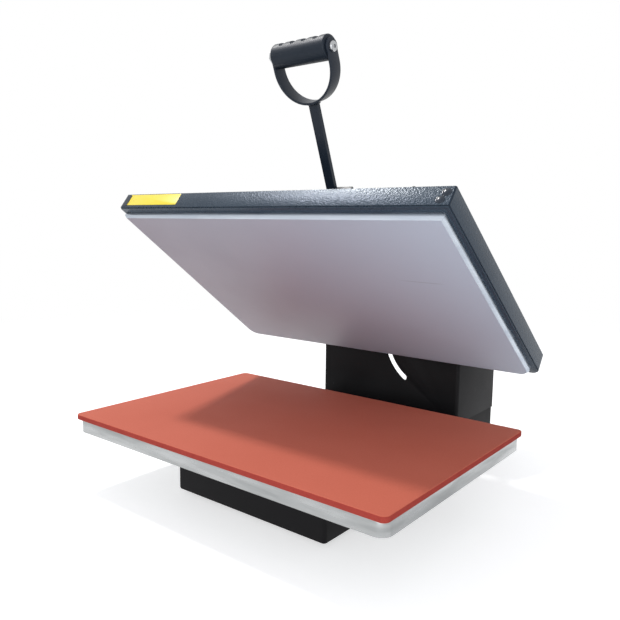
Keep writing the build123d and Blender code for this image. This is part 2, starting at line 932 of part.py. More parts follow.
save("torsion_springs", *[torsion_spring(sign) for sign in sides])
print("least gap of a spring's wire to itself, mm", round(least_wire_gap(spring_path(1)), 2))


# Lever, crank and handle: drawn in the arm's frame at the open end of their travel
lever_plane = Plane(
    (0, fulcrum_y, face + fulcrum_w),
    x_dir=(1, 0, 0),
    z_dir=(0, -lever_sin, -lever_cos),
)


def on_lever(shape):
    """Place a shape drawn with X across and Y along the lever, at the fulcrum."""
    return lever_plane * shape


def tail_point(along):
    """A point of the crank's slot, along its length from the link pin's place when open."""
    turn = math.radians(tail_slot_angle)
    y = fulcrum_y + tail_back + along * math.cos(turn)
    z = face + fulcrum_w - tail_drop + along * math.sin(turn)
    return y, z


def crank_outline():
    low = tail_point(-tail_slot_low)
    high = tail_point(tail_slot_high)
    width = link_pin_radius + tail_slack
    cheek = capsule(*low, *high, width + tail_wall)
    cheek += capsule(*high, fulcrum_y, face + fulcrum_w, width + tail_wall)
    cheek += disc(fulcrum_y, face + fulcrum_w, crank_hub_radius)
    cheek -= capsule(*low, *high, width)
    return cheek - disc(fulcrum_y, face + fulcrum_w, fulcrum_radius + bush_wall)


def lever_crank():
    crank = tube_x(-crank_outer, crank_outer, fulcrum_y, face + fulcrum_w, crank_hub_radius,
                   fulcrum_radius + bush_wall)
    for sign in sides:
        crank += side_plate(crank_outline(), sign * crank_inner, sign * crank_outer)
    return crank


def lever_bush():
    wall = tube_x(-crank_outer, crank_outer, fulcrum_y, face + fulcrum_w, fulcrum_radius + bush_wall,
                  fulcrum_radius + fit_clearance)
    return wall


def lever_bar():
    start = math.sqrt(crank_hub_radius ** 2 - (bar_depth / 2) ** 2)
    end = grip_distance - yoke_radius - yoke_straight - yoke_strap / 2
    bar = Pos(0, (start + end) / 2, 0) * Box(bar_width, end - start, bar_depth)
    bar = fillet(bar.edges().filter_by(Axis.Y), bar_edge)
    bar -= Rot(0, 90, 0) * Cylinder(crank_hub_radius, 2 * bar_width)
    yoke_round = Cylinder(yoke_radius + yoke_strap / 2, 2 * bar_depth)
    return on_lever(bar - Pos(0, grip_distance - yoke_straight, 0) * yoke_round)


def handle_yoke():
    outer = yoke_radius + yoke_strap / 2
    inner = yoke_radius - yoke_strap / 2
    half_width = yoke_strap_width / 2
    bend_y = grip_distance - yoke_straight
    strap = Pos(0, bend_y, 0) * (Cylinder(outer, yoke_strap_width) - Cylinder(inner, yoke_strap_width))
    strap -= block(-2 * outer, 2 * outer, bend_y, bend_y + 2 * outer, -half_width, half_width)
    for sign in sides:
        ear = block(sign * inner, sign * outer, bend_y, grip_distance, -half_width, half_width)
        strap += ear + rod_x(sign * inner, sign * outer, grip_distance, 0, yoke_ear_radius)
        strap -= rod_x(sign * (inner - past), sign * (outer + past), grip_distance, 0,
                       grip_bolt_radius + fit_clearance)
    return on_lever(strap)


grip_half = yoke_radius - yoke_strap / 2 - side_clearance


def handle_grip():
    grip = rod_x(-grip_half, grip_half, grip_distance, 0, grip_radius)
    grip = fillet(grip.edges(), grip_edge)
    for index in range(1, grip_crests):
        x = (index - grip_crests / 2) * grip_pitch
        y = grip_distance + grip_radius - grip_scallop_depth + grip_scallop_radius
        grip -= Pos(x, y, 0) * Cylinder(grip_scallop_radius, 4 * grip_radius)
    grip -= rod_x(-grip_half, grip_half, grip_distance, 0, grip_bore)
    return on_lever(grip)


def grip_tube():
    bore = grip_bolt_radius + fit_clearance
    return on_lever(tube_x(-grip_half, grip_half, grip_distance, 0, grip_tube_radius, bore))


def grip_bolt():
    seat = yoke_radius + yoke_strap / 2
    bolt = rod_x(-seat - grip_nut_height - bolt_tip, seat + past, grip_distance, 0, grip_bolt_radius)
    head = rod_x(seat, seat + button_head_height, grip_distance, 0, button_head_radius)
    head = fillet(head.edges().group_by(Axis.X)[-1], button_head_round)
    socket = Rot(0, -90, 0) * hex_head(socket_radius, socket_radius)
    return on_lever(bolt + head - Pos(seat + button_head_height, grip_distance, 0) * socket)


def grip_nut():
    seat = yoke_radius + yoke_strap / 2
    nut = Pos(-seat, grip_distance, 0) * Rot(0, -90, 0) * hex_head(grip_nut_radius, grip_nut_height)
    bore = grip_bolt_radius + fit_clearance
    return on_lever(nut - rod_x(-seat - grip_nut_height, -seat, grip_distance, 0, bore))


def fulcrum_bolt():
    seat = arm_outer
    end = seat + fulcrum_nut_height + shaft_overhang
    bolt = rod_x(-end, seat + fulcrum_head_height, fulcrum_y, face + fulcrum_w, fulcrum_radius)
    head = Rot(0, 90, 0) * hex_head(fulcrum_head, fulcrum_head_height)
    return bolt + Pos(seat, fulcrum_y, face + fulcrum_w) * head


def fulcrum_nut():
    end = -arm_outer - fulcrum_nut_height
    nut = Rot(0, -90, 0) * hex_head(fulcrum_head, fulcrum_nut_height)
    nut = Pos(-arm_outer, fulcrum_y, face + fulcrum_w) * nut
    return nut - rod_x(end, -arm_outer, fulcrum_y, face + fulcrum_w, fulcrum_radius + fit_clearance)


def fulcrum_spacer(sign):
    return tube_x(sign * (crank_outer + side_clearance), sign * arm_inner, fulcrum_y, face + fulcrum_w,
                  fulcrum_radius + ring_width, fulcrum_radius + fit_clearance)


save("lever_crank", swing(lever_crank()))
save("lever_bush", swing(lever_bush()))
save("lever_bar", swing(lever_bar()))
save("handle_yoke", swing(handle_yoke()))
save("handle_grip", swing(handle_grip()))
save("grip_tube", swing(grip_tube()))
save("grip_bolt", swing(grip_bolt()), swing(grip_nut()))
save("fulcrum_bolt", swing(fulcrum_bolt()), swing(fulcrum_nut()))
save("fulcrum_spacers", *[swing(fulcrum_spacer(sign)) for sign in sides])


# Links from the crank's slotted tail to the anchor shaft
tail = swing(Pos(0, *tail_point(0)) * Sphere(1)).center()
link_run = math.hypot(anchor_y - tail.Y, anchor_z - tail.Z)


def link(sign):
    bar = capsule(tail.Y, tail.Z, anchor_y, anchor_z, link_half_height)
    bar += disc(tail.Y, tail.Z, link_eye) + disc(anchor_y, anchor_z, link_eye)
    bar -= disc(tail.Y, tail.Z, link_pin_radius)
    bar -= disc(anchor_y, anchor_z, anchor_radius + fit_clearance)
    return side_plate(bar, sign * link_inner, sign * link_outer)


def link_pin(sign):
    """A shouldered pin riveted in the link; its shank runs in the crank's slot."""
    pin = rod_x(sign * (crank_inner - link_pin_end), sign * link_outer, tail.Y, tail.Z, link_pin_radius)
    head = rod_x(sign * link_outer, sign * (link_outer + link_pin_head), tail.Y, tail.Z,
                 link_pin_radius + link_pin_head)
    return pin + head


save("links", *[link(sign) for sign in sides])
save("link_pins", *[link_pin(sign) for sign in sides])


# Place of the control box on the cover
box_x = cover_length / 2 - box_inset - box_width / 2
box_y = cover_shift - cover_depth / 2 + box_setback + box_depth / 2


# Upper platen: heater plate, element, blanket, cover and what hangs them from the screw
def heater_plan():
    """The heater plate's outline: square at the front, rounded at the rear."""
    plan = Rectangle(heater_length, heater_depth)
    return Pos(0, heater_shift) * fillet(plan.vertices().group_by(Axis.Y)[-1], heater_rear_corner)


def element_path(level):
    """A flat serpentine of straight passes joined by half turns."""
    first = -element_half_span
    pieces = []
    for index in range(element_passes):
        y = first + index * element_pitch
        way = 1 if index % 2 == 0 else -1
        pieces.append(Line((-way * element_half_run, y, level), (way * element_half_run, y, level)))
        if index < element_passes - 1:
            bulge = (way * (element_half_run + element_pitch / 2), y + element_pitch / 2, level)
            end = (way * element_half_run, y + element_pitch, level)
            pieces.append(ThreePointArc((way * element_half_run, y, level), bulge, end))
    return Wire([edge for piece in pieces for edge in piece.edges()])


def element_tube(level, radius):
    path = element_path(level)
    section = Plane(path @ 0, z_dir=path % 0) * Circle(radius)
    return sweep(section, path=path)


element_level = face + heater_top
post_points = [(sx * post_x, sy * post_y) for sx in sides for sy in sides]


def heater_plate():
    plate = Pos(0, 0, face) * extrude(heater_plan(), heater_edge)
    plate = chamfer(plate.faces().sort_by(Axis.Z)[0].edges(), heater_bevel)
    plate += slab(block_length, block_depth, face + heater_edge - past, face + heater_top, block_corner)
    plate -= element_tube(element_level, element_radius + element_gap)
    for x, y in post_points:
        plate -= rod_z(x, y, face + heater_edge, face + heater_top, m6_radius + fit_clearance)
    return plate


strip_x = element_half_run - strip_inset


def element_strip(x):
    """A strip across all the passes that holds the element down."""
    reach = element_half_span + strip_overhang
    low = face + heater_top + element_radius + element_gap
    return block(x - strip_width / 2, x + strip_width / 2, -reach, reach, low, low + strip_thickness)


blanket_low = face + heater_top + element_radius + element_gap + strip_thickness + side_clearance


def blanket():
    top = blanket_low + blanket_thickness
    wool = slab(block_length, block_depth, blanket_low, top, block_corner)
    for x, y in post_points:
        wool -= rod_z(x, y, blanket_low, top, post_radius + side_clearance)
    return wool


def post(x, y):
    """A spacer between the heater plate and the carrier plate."""
    body = rod_z(x, y, face + heater_top, face + post_top, post_radius)
    return body - rod_z(x, y, face + heater_top, face + post_top, m6_radius + fit_clearance)


def post_bolt(x, y):
    top = face + cover_top
    return bolt_down(x, y, top, cover_top - heater_top + post_thread, m6_radius, m6_head, m6_head_height)


def carrier_plate():
    length = 2 * (post_x + carrier_side)
    depth = 2 * (post_y + carrier_end)
    plate = slab(length, depth, face + post_top, face + post_top + carrier_thickness, carrier_corner)
    for x, y in post_points:
        plate -= rod_z(x, y, face + post_top, face + cover_top, m6_radius + side_clearance)
    return plate


def cover_plan(inset):
    plan = Rectangle(cover_length - 2 * inset, cover_depth - 2 * inset)
    plan = fillet(plan.vertices().group_by(Axis.Y)[-1], cover_rear_corner - inset)
    return fillet(plan.vertices().group_by(Axis.Y)[0], cover_sheet + cover_inner_corner - inset)


def cover_rear_cut(inset):
    """The wedge taken off the cover's top rear edge, moved in by the sheet for the hollow."""
    back = cover_shift + cover_depth / 2 - inset
    top = face + cover_top - inset
    leg = cover_rear_chamfer - inset * (2 - math.sqrt(2))
    wedge = Polyline((back - leg, top), (back, top - leg), (back + leg, top), close=True)
    return side_plate(make_face(wedge), -cover_length, cover_length)


def platen_cover():
    height = cover_top - cover_low
    shell = Pos(0, cover_shift, face + cover_low) * extrude(cover_plan(0), height)
    shell -= cover_rear_cut(0)
    hollow = Pos(0, cover_shift, face + cover_low) * extrude(cover_plan(cover_sheet), height - cover_sheet)
    shell -= hollow - cover_rear_cut(cover_sheet)
    for x, y in post_points:
        shell -= rod_z(x, y, face + cover_top - cover_sheet, face + cover_top, m6_radius + side_clearance)
    shell -= rod_z(box_x, box_y, face + cover_top - cover_sheet, face + cover_top, cable_hole_radius)
    return shell


def heat_shelf():
    """The thin frame that closes the gap between heater plate and cover."""
    low = face + heater_edge
    length = cover_length - 2 * cover_sheet - 2 * side_clearance
    depth = cover_depth - 2 * cover_sheet - 2 * side_clearance
    plan = Rectangle(length, depth)
    plan = fillet(plan.vertices().group_by(Axis.Y)[-1], cover_rear_corner - cover_sheet - side_clearance)
    hole = Rectangle(block_length + 2 * shelf_gap, block_depth + 2 * shelf_gap)
    shelf = Pos(0, cover_shift, low) * extrude(plan, shelf_sheet)
    shelf -= Pos(0, 0, low) * extrude(hole, shelf_sheet)
    lip_outer = extrude(plan, shelf_overlap)
    lip_inner = extrude(offset(plan, -shelf_sheet), shelf_overlap)
    return shelf + Pos(0, cover_shift, low) * (lip_outer - lip_inner)


def thermocouple():
    """The sensor rod pushed into the side of the heater block."""
    level = face + heater_edge + block_height / 2
    back = block_depth / 2
    x = block_length / 2 - sensor_inset
    return rod_y(x, back - sensor_depth, back + sensor_end, level, sensor_radius)


save("heater_plate", swing(heater_plate() - thermocouple()))
save("heating_element", swing(element_tube(element_level, element_radius)))
save("element_strips", *[swing(element_strip(x)) for x in (-strip_x, 0, strip_x)])
save("insulation_blanket", swing(blanket()))
save(
    "platen_posts",
    *[swing(post(x, y)) for x, y in post_points],
    *[swing(post_bolt(x, y)) for x, y in post_points],
)
save("carrier_plate", swing(carrier_plate()))
save("platen_cover", swing(platen_cover()))
save("heat_shelf", swing(heat_shelf()))
save("thermocouple", swing(thermocouple()))

top_of_cover = face + cover_top
collar_low = top_of_cover + swivel_floor


def swivel_housing():
    cup = rod_z(0, 0, top_of_cover, top_of_cover + swivel_height, swivel_radius)
    return cup - rod_z(0, 0, collar_low, top_of_cover + swivel_height, swivel_collar + side_clearance)


def swivel_cap():
    low = top_of_cover + swivel_height
    cap = rod_z(0, 0, low, low + swivel_cap_height, swivel_radius)
    plug_low = collar_low + swivel_collar_height + side_clearance
    cap += rod_z(0, 0, plug_low, low, swivel_collar + side_clearance - fit_clearance)
    return cap - rod_z(0, 0, plug_low, low + swivel_cap_height, screw_radius + fit_clearance)


def pressure_screw():
    screw = rod_z(0, 0, collar_low + fit_clearance, face + knob_low + knob_height - knob_roof, screw_radius)
    collar_foot = collar_low + fit_clearance
    return screw + rod_z(0, 0, collar_foot, collar_foot + swivel_collar_height, swivel_collar)


def pressure_knob():
    low = face + knob_low
    knob = rod_z(0, 0, low, low + knob_height, knob_radius)
    for index in range(knob_lobes):
        turn = math.radians(360 / knob_lobes * index)
        x = (knob_radius + knob_flute / 2) * math.cos(turn)
        y = (knob_radius + knob_flute / 2) * math.sin(turn)
        knob -= rod_z(x, y, low, low + knob_height, knob_flute)
    knob = chamfer(knob.faces().sort_by(Axis.Z)[-1].edges(), knob_chamfer)
    return knob - rod_z(0, 0, low, low + knob_height - knob_roof, screw_radius)


def guide_pin(sign):
    x = sign * guide_x
    pin = rod_z(x, guide_y, top_of_cover, top_of_cover + guide_length, guide_radius)
    return pin + rod_z(x, guide_y, top_of_cover, top_of_cover + guide_head_height, guide_head_radius)


save("swivel", swing(swivel_housing()), swing(swivel_cap()))
save("pressure_screw", swing(pressure_screw()))
save("pressure_knob", swing(pressure_knob()))
save("guide_pins", *[swing(guide_pin(sign)) for sign in sides])


# Control box with its panel, window, buttons, rocker switch and inlet
box_front = box_y - box_depth / 2
box_back = box_y + box_depth / 2
box_low = top_of_cover
box_top = top_of_cover + box_height
box_left = box_x - box_width / 2
box_right = box_x + box_width / 2
button_z = box_low + button_rise
window_z = box_low + window_rise
button_points = [(box_x + step * button_pitch, button_z) for step in (-1, 0, 1)]
rocker_y = box_y - rocker_setback
rocker_z = box_low + rocker_rise
inlet_x = box_x
inlet_z = box_low + inlet_rise
fuse_x = box_right - fuse_inset


def control_shell():
    shell = block(box_left, box_right, box_front, box_back, box_low, box_top)
    shell = fillet(shell.edges().filter_by(Axis.Y).group_by(Axis.Z)[-1], box_corner)
    shell -= block(box_left + box_sheet, box_right - box_sheet, box_front - past, box_back - box_sheet,
                   box_low + box_sheet, box_top - box_sheet)
    shell -= rod_z(box_x, box_y, box_low, box_low + box_sheet, cable_hole_radius)
    shell -= block(box_right - box_sheet, box_right,
                   rocker_y - rocker_height / 2, rocker_y + rocker_height / 2,
                   rocker_z - rocker_width / 2, rocker_z + rocker_width / 2)
    shell -= block(inlet_x - inlet_width / 2, inlet_x + inlet_width / 2, box_back - box_sheet, box_back,
                   inlet_z - inlet_height / 2, inlet_z + inlet_height / 2)
    return shell - rod_y(fuse_x, box_back - box_sheet, box_back, inlet_z, fuse_radius + side_clearance)


def control_panel():
    low = box_low + box_sheet + side_clearance
    top = box_top - box_sheet - side_clearance
    left = box_left + box_sheet + side_clearance
    right = box_right - box_sheet - side_clearance
    panel = block(left, right, box_front, box_front + panel_thickness, low, top)
    for x, z in button_points:
        panel -= rod_y(x, box_front, box_front + panel_thickness, z, button_radius + button_clearance)
    panel -= block(box_x - window_width / 2, box_x + window_width / 2,
                   box_front, box_front + panel_thickness,
                   window_z - window_height / 2, window_z + window_height / 2)
    return panel


def display_window():
    """The window in the panel, with a lip behind the panel all round."""
    half = window_width / 2 - side_clearance
    tall = window_height / 2 - side_clearance
    lip_half = half + window_lip
    lip_tall = tall + window_lip
    back = box_front + panel_thickness
    window = block(box_x - half, box_x + half, box_front + window_recess, back,
                   window_z - tall, window_z + tall)
    return window + block(box_x - lip_half, box_x + lip_half, back, back + window_lip_thickness,
                          window_z - lip_tall, window_z + lip_tall)


button_back = box_front - button_show + button_length


def push_button(x, z):
    cap = rod_y(x, box_front - button_show, button_back, z, button_radius)
    return fillet(cap.edges().group_by(Axis.Y)[0], button_round)


board_y = button_back + button_travel + side_clearance
board_back = board_y + board_thickness


def circuit_board():
    """The board behind the panel, standing on the box's floor, with the contacts that the buttons work."""
    board = block(box_left + board_inset, box_right - board_inset, board_y, board_back,
                  box_low + box_sheet, box_top - board_inset)
    for x, z in button_points:
        board += rod_y(x, board_back, board_back + contact_depth, z, contact_radius)
    return board


def relay():
    low = box_low + box_sheet
    left = box_left + relay_inset
    front = board_y + relay_gap
    return block(left, left + relay_length, front, front + relay_depth, low, low + relay_height)


def rocker_switch_body():
    """The switch's body through the box's side, its rim outside and the pocket that holds the key."""
    length = rocker_height / 2 - side_clearance
    tall = rocker_width / 2 - side_clearance
    rim_length = length + rocker_flange
    rim_tall = tall + rocker_flange
    pocket_length = length - rocker_end_wall
    pocket_tall = tall - rocker_side_wall
    rim = box_right + rocker_flange_thickness

    def centred(x0, x1, half_length, half_height):
        return block(x0, x1, rocker_y - half_length, rocker_y + half_length,
                     rocker_z - half_height, rocker_z + half_height)

    body = centred(box_right - box_sheet - rocker_body_depth, box_right, length, tall)
    body += centred(box_right, rim, rim_length, rim_tall)
    body -= centred(box_right - rocker_pocket, rim, pocket_length, pocket_tall)
    bore = pocket_tall + key_pin_reach + fit_clearance
    return body - Pos(box_right, rocker_y, rocker_z) * Cylinder(key_pin_radius + fit_clearance, 2 * bore)


def rocker_key():
    """The key drawn tipped to its off side about its own pin, along Z of the box."""
    reach = rocker_height / 2 - side_clearance - rocker_end_wall - key_end_gap
    tall = rocker_width / 2 - side_clearance - rocker_side_wall - side_clearance
    key = make_face(Polyline(
        (-reach, -key_depth),
        (reach, -key_depth),
        (reach, key_edge),
        (0, key_ridge),
        (-reach, key_edge),
        close=True,
    ))
    pin = Cylinder(key_pin_radius, 2 * (tall + side_clearance + key_pin_reach))
    key = extrude(key, tall, both=True) + pin
    base = Plane((box_right, rocker_y, rocker_z), x_dir=(0, 1, 0), z_dir=(0, 0, 1))
    placed = base * (Rot(0, 0, 180) * key)
    axis = Axis((box_right, rocker_y, rocker_z), (0, 0, 1))
    return placed.rotate(axis, -rocker_throw / 2)


def mains_inlet():
    """The inlet through the box's back, with its two ears and the three contact blades."""
    half = inlet_width / 2 - side_clearance
    tall = inlet_height / 2 - side_clearance
    back = box_back + inlet_flange_thickness
    floor = box_back - inlet_pocket

    def centred(half_width, y0, y1, half_height):
        return block(inlet_x - half_width, inlet_x + half_width, y0, y1,
                     inlet_z - half_height, inlet_z + half_height)

    body = centred(half, box_back - inlet_depth, box_back, tall)
    body += centred(half + inlet_ear, box_back, back, tall + inlet_rim)
    body -= centred(half - inlet_wall, floor, back, tall - inlet_wall)
    blade = block(-inlet_pin_half_width, inlet_pin_half_width, floor - past, box_back - past,
                  -inlet_pin_half_height, inlet_pin_half_height)
    places = ((-inlet_pin_pitch, -inlet_pin_drop), (0, inlet_earth_rise), (inlet_pin_pitch, -inlet_pin_drop))
    for x, z in places:
        body += Pos(inlet_x + x, 0, inlet_z + z) * blade
    return body


def fuse_holder():
    """The round fuse holder beside the inlet, through the back wall."""
    cap = rod_y(fuse_x, box_back, box_back + fuse_cap_height, inlet_z, fuse_cap_radius)
    return cap + rod_y(fuse_x, box_back - fuse_depth, box_back, inlet_z, fuse_radius)


save("control_box_shell", swing(control_shell()))
save("control_panel", swing(control_panel()))
save("display_window", swing(display_window()))
for name, (x, z) in zip(("down", "set", "up"), button_points):
    save("button_" + name, swing(push_button(x, z)))
save("circuit_board", swing(circuit_board()))
save("relay", swing(relay()))
save("rocker_switch_body", swing(rocker_switch_body()))
save("rocker_key", swing(rocker_key()))
save("mains_inlet", swing(mains_inlet()))
save("fuse_holder", swing(fuse_holder()))
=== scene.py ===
import bmesh
import bpy
import json
import math
from mathutils import Matrix, Vector


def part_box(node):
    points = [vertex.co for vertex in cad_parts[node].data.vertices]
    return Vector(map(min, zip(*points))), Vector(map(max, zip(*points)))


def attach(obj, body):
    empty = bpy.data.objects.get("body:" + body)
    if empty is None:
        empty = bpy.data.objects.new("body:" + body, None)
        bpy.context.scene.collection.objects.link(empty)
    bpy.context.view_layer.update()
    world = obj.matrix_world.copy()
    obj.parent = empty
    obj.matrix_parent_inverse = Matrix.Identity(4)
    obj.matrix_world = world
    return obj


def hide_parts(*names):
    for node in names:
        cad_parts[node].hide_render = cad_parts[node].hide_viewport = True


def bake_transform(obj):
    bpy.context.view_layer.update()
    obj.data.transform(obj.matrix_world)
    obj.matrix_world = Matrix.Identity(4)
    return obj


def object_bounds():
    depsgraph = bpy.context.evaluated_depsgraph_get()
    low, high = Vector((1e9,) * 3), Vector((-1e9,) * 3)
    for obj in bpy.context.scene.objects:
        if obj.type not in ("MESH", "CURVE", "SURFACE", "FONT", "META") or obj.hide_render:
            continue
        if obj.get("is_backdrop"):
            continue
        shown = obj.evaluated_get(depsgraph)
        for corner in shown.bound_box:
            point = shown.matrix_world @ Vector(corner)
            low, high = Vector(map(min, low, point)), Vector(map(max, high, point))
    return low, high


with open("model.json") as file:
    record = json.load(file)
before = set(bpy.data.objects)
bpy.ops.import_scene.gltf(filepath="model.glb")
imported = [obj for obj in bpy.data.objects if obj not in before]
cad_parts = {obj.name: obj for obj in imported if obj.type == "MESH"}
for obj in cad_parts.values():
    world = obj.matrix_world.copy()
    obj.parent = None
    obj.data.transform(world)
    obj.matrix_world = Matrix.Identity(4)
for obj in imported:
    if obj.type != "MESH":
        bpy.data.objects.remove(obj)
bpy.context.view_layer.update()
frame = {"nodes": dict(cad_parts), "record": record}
nodes = frame["nodes"]
body_of = {node: body for body, names in frame["record"]["behaviour"]["bodies"].items() for node in names}

# The room: a white floor that runs into a white wall, a small lamp at the upper left, a wide one
# low in front, and a third that is seen only as a gleam in gloss. The camera stands at the
# photograph's place. Nothing here belongs to the press.
floor_colour = (0.80, 0.80, 0.81, 1.0)
floor_roughness = 0.9
floor_specular = 0.1
room_half = 6.0
near_glow = 0.55
shadow_reach = 0.75
shadow_end = 2.2
sky_colour = (0.95, 0.97, 1.0, 1.0)
sky_level = 0.62
camera_place = (0.65444, -0.90012, 0.44102)
camera_turn = math.radians(38.49)
camera_pitch = math.radians(7.61)
camera_roll = math.radians(0.65)
camera_lens = 38.17
camera_sensor = 36.0
camera_near = 0.01
lamp_aim = Vector((0, 0, 0.3))
key_lamp = {"direction": (-0.478, -0.04, 0.87), "distance": 3.0, "size": 0.30, "watts": 48,
            "tint": (1.0, 0.985, 0.96)}
front_lamp = {"direction": (0.50, -0.86, 0.06), "distance": 2.6, "size": 1.9, "watts": 32,
              "tint": (0.98, 0.99, 1.0)}
glint_lamp = {"direction": (-0.50, -0.26, 0.83), "distance": 2.4, "size": 0.26, "watts": 22,
              "tint": (0.97, 0.95, 1.0)}


def new_material(name):
    """A material with its node tree, its shader and the piece's own coordinates."""
    material = bpy.data.materials.new(name)
    material.use_nodes = True
    tree = material.node_tree
    shader = tree.nodes["Principled BSDF"]
    place = tree.nodes.new("ShaderNodeTexCoord").outputs["Object"]
    return material, tree, shader, place


def add_node(tree, kind, **values):
    """A node with its settings given by attribute, and its sockets set by name or fed by an output."""
    made = tree.nodes.new(kind)
    sockets = {}
    for key, value in values.items():
        if hasattr(made, key):
            setattr(made, key, value)
        else:
            sockets[key.replace("_", " ")] = value
    for key, value in sockets.items():
        socket = made.inputs[int(key[1:])] if key[0] == "s" and key[1:].isdigit() else made.inputs[key]
        if isinstance(value, bpy.types.NodeSocket):
            tree.links.new(value, socket)
        else:
            socket.default_value = value
    return made


def calculate(tree, operation, first, second=0.0, clamp=False):
    """The output of one arithmetic node."""
    made = add_node(tree, "ShaderNodeMath", operation=operation, use_clamp=clamp, s0=first, s1=second)
    return made.outputs[0]


def rescale(tree, value, **limits):
    """The output of a node that maps a value from one range to another, by default from and to 0 and 1."""
    return add_node(tree, "ShaderNodeMapRange", Value=value, **limits).outputs[0]


def seen_ray(tree):
    """1 for rays from the camera, from gloss and through glass, and 0 for all others."""
    path = tree.nodes.new("ShaderNodeLightPath").outputs
    direct = calculate(tree, "ADD", path["Is Camera Ray"], path["Is Glossy Ray"], clamp=True)
    return calculate(tree, "ADD", direct, path["Is Transmission Ray"], clamp=True)


bpy.ops.object.select_all(action="DESELECT")
bpy.ops.mesh.primitive_plane_add(size=2 * room_half, location=(0, 0, 0))
floor = bpy.context.object
floor.name = "floor"
floor_material, tree, shader, place = new_material("pale_floor")
shader.inputs["Base Color"].default_value = floor_colour
shader.inputs["Roughness"].default_value = floor_roughness
shader.inputs["Specular IOR Level"].default_value = floor_specular
reach = add_node(tree, "ShaderNodeVectorMath", operation="LENGTH", s0=place).outputs["Value"]
far = rescale(tree, reach, interpolation_type="SMOOTHSTEP", From_Min=shadow_reach, From_Max=shadow_end)
seen = seen_ray(tree)
level = calculate(tree, "ADD", calculate(tree, "MULTIPLY", far, 1 - near_glow), near_glow)
glow = add_node(tree, "ShaderNodeEmission", Strength=calculate(tree, "MULTIPLY", level, seen))
fade = add_node(tree, "ShaderNodeMixShader", Fac=calculate(tree, "MULTIPLY", far, seen))
tree.links.new(shader.outputs["BSDF"], fade.inputs[1])
both = add_node(tree, "ShaderNodeAddShader", s0=fade.outputs[0], s1=glow.outputs[0])
tree.links.new(both.outputs[0], tree.nodes["Material Output"].inputs["Surface"])
floor.data.materials.append(floor_material)
floor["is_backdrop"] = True

world = bpy.data.worlds.new("studio")
bpy.context.scene.world = world
world.use_nodes = True
tree = world.node_tree
sky = tree.nodes["Background"]
sky.inputs["Color"].default_value = sky_colour
sky.inputs["Strength"].default_value = sky_level
white = add_node(tree, "ShaderNodeBackground", Color=(1, 1, 1, 1), Strength=1.0)
mix = add_node(tree, "ShaderNodeMixShader", Fac=seen_ray(tree), s1=sky.outputs[0], s2=white.outputs[0])
tree.links.new(mix.outputs[0], tree.nodes["World Output"].inputs["Surface"])


def add_lamp(name, direction, distance, size, watts, tint):
    """A round area lamp that shines at the middle of the press from a direction."""
    away = Vector(direction).normalized()
    bpy.ops.object.light_add(type="AREA", location=lamp_aim + away * distance)
    lamp = bpy.context.object
    lamp.name = name
    lamp.data.shape = "DISK"
    lamp.data.size = size
    lamp.data.energy = watts
    lamp.data.color = tint
    lamp.rotation_mode = "QUATERNION"
    lamp.rotation_quaternion = away.to_track_quat("Z", "Y")
    return lamp


add_lamp("key_lamp", **key_lamp)
add_lamp("front_lamp", **front_lamp)
glint = add_lamp("glint_lamp", **glint_lamp)
glint.visible_diffuse = False

bpy.ops.object.camera_add(location=camera_place)
camera = bpy.context.object
camera.name = "camera"
camera.data.lens = camera_lens
camera.data.sensor_width = camera_sensor
turn = Matrix.Rotation(camera_turn, 4, "Z") @ Matrix.Rotation(math.pi / 2 - camera_pitch, 4, "X")
camera.matrix_world = Matrix.Translation(camera_place) @ turn @ Matrix.Rotation(camera_roll, 4, "Z")
camera.data.clip_start = camera_near
bpy.context.scene.camera = camera
bpy.context.scene.view_settings.view_transform = "Standard"


# The base: a tray and a bottom plate of folded sheet steel on four rubber feet, with a satin
# black powder coat. The column stands bolted at its back, with an arc slot in its front, and
# two rails carry the lower platen.
MM = 0.001
powder_black = (0.0065, 0.0062, 0.0070, 1)
powder_grey = (0.0110, 0.0105, 0.0115, 1)
rubber_black = (0.016, 0.016, 0.017, 1)
rubber_grey = (0.030, 0.029, 0.028, 1)
powder_rubbed = (0.035, 0.034, 0.036, 1)
mottle_scale = 420.0
tone_low, tone_high = 0.3, 0.7
rub_level = 0.78
rub_edge = 0.06
join_distance = 0.01 * MM
flat_angle = math.radians(0.5)


def new_group(name, inputs, outputs):
    """A shader node group with named inputs and outputs, and its two end nodes."""
    group = bpy.data.node_groups.new(name, "ShaderNodeTree")
    kinds = {"value": "NodeSocketFloat", "colour": "NodeSocketColor", "vector": "NodeSocketVector"}
    for label, kind in inputs.items():
        group.interface.new_socket(name=label, in_out="INPUT", socket_type=kinds[kind])
    for label, kind in outputs.items():
        group.interface.new_socket(name=label, in_out="OUTPUT", socket_type=kinds[kind])
    return group, group.nodes.new("NodeGroupInput").outputs, group.nodes.new("NodeGroupOutput").inputs


def use_group(tree, group, **values):
    """Place a group in a material, with the inputs given by name."""
    made = tree.nodes.new("ShaderNodeGroup")
    made.node_tree = group
    for key, value in values.items():
        socket = made.inputs[key.replace("_", " ")]
        if isinstance(value, bpy.types.NodeSocket):
            tree.links.new(value, socket)
        else:
            socket.default_value = value
    return made.outputs


def mix_colour(tree, share, first, second):
    """The output of a node that goes from the first colour to the second by a share."""
    return add_node(tree, "ShaderNodeMix", data_type="RGBA", s0=share, s6=first, s7=second).outputs[2]


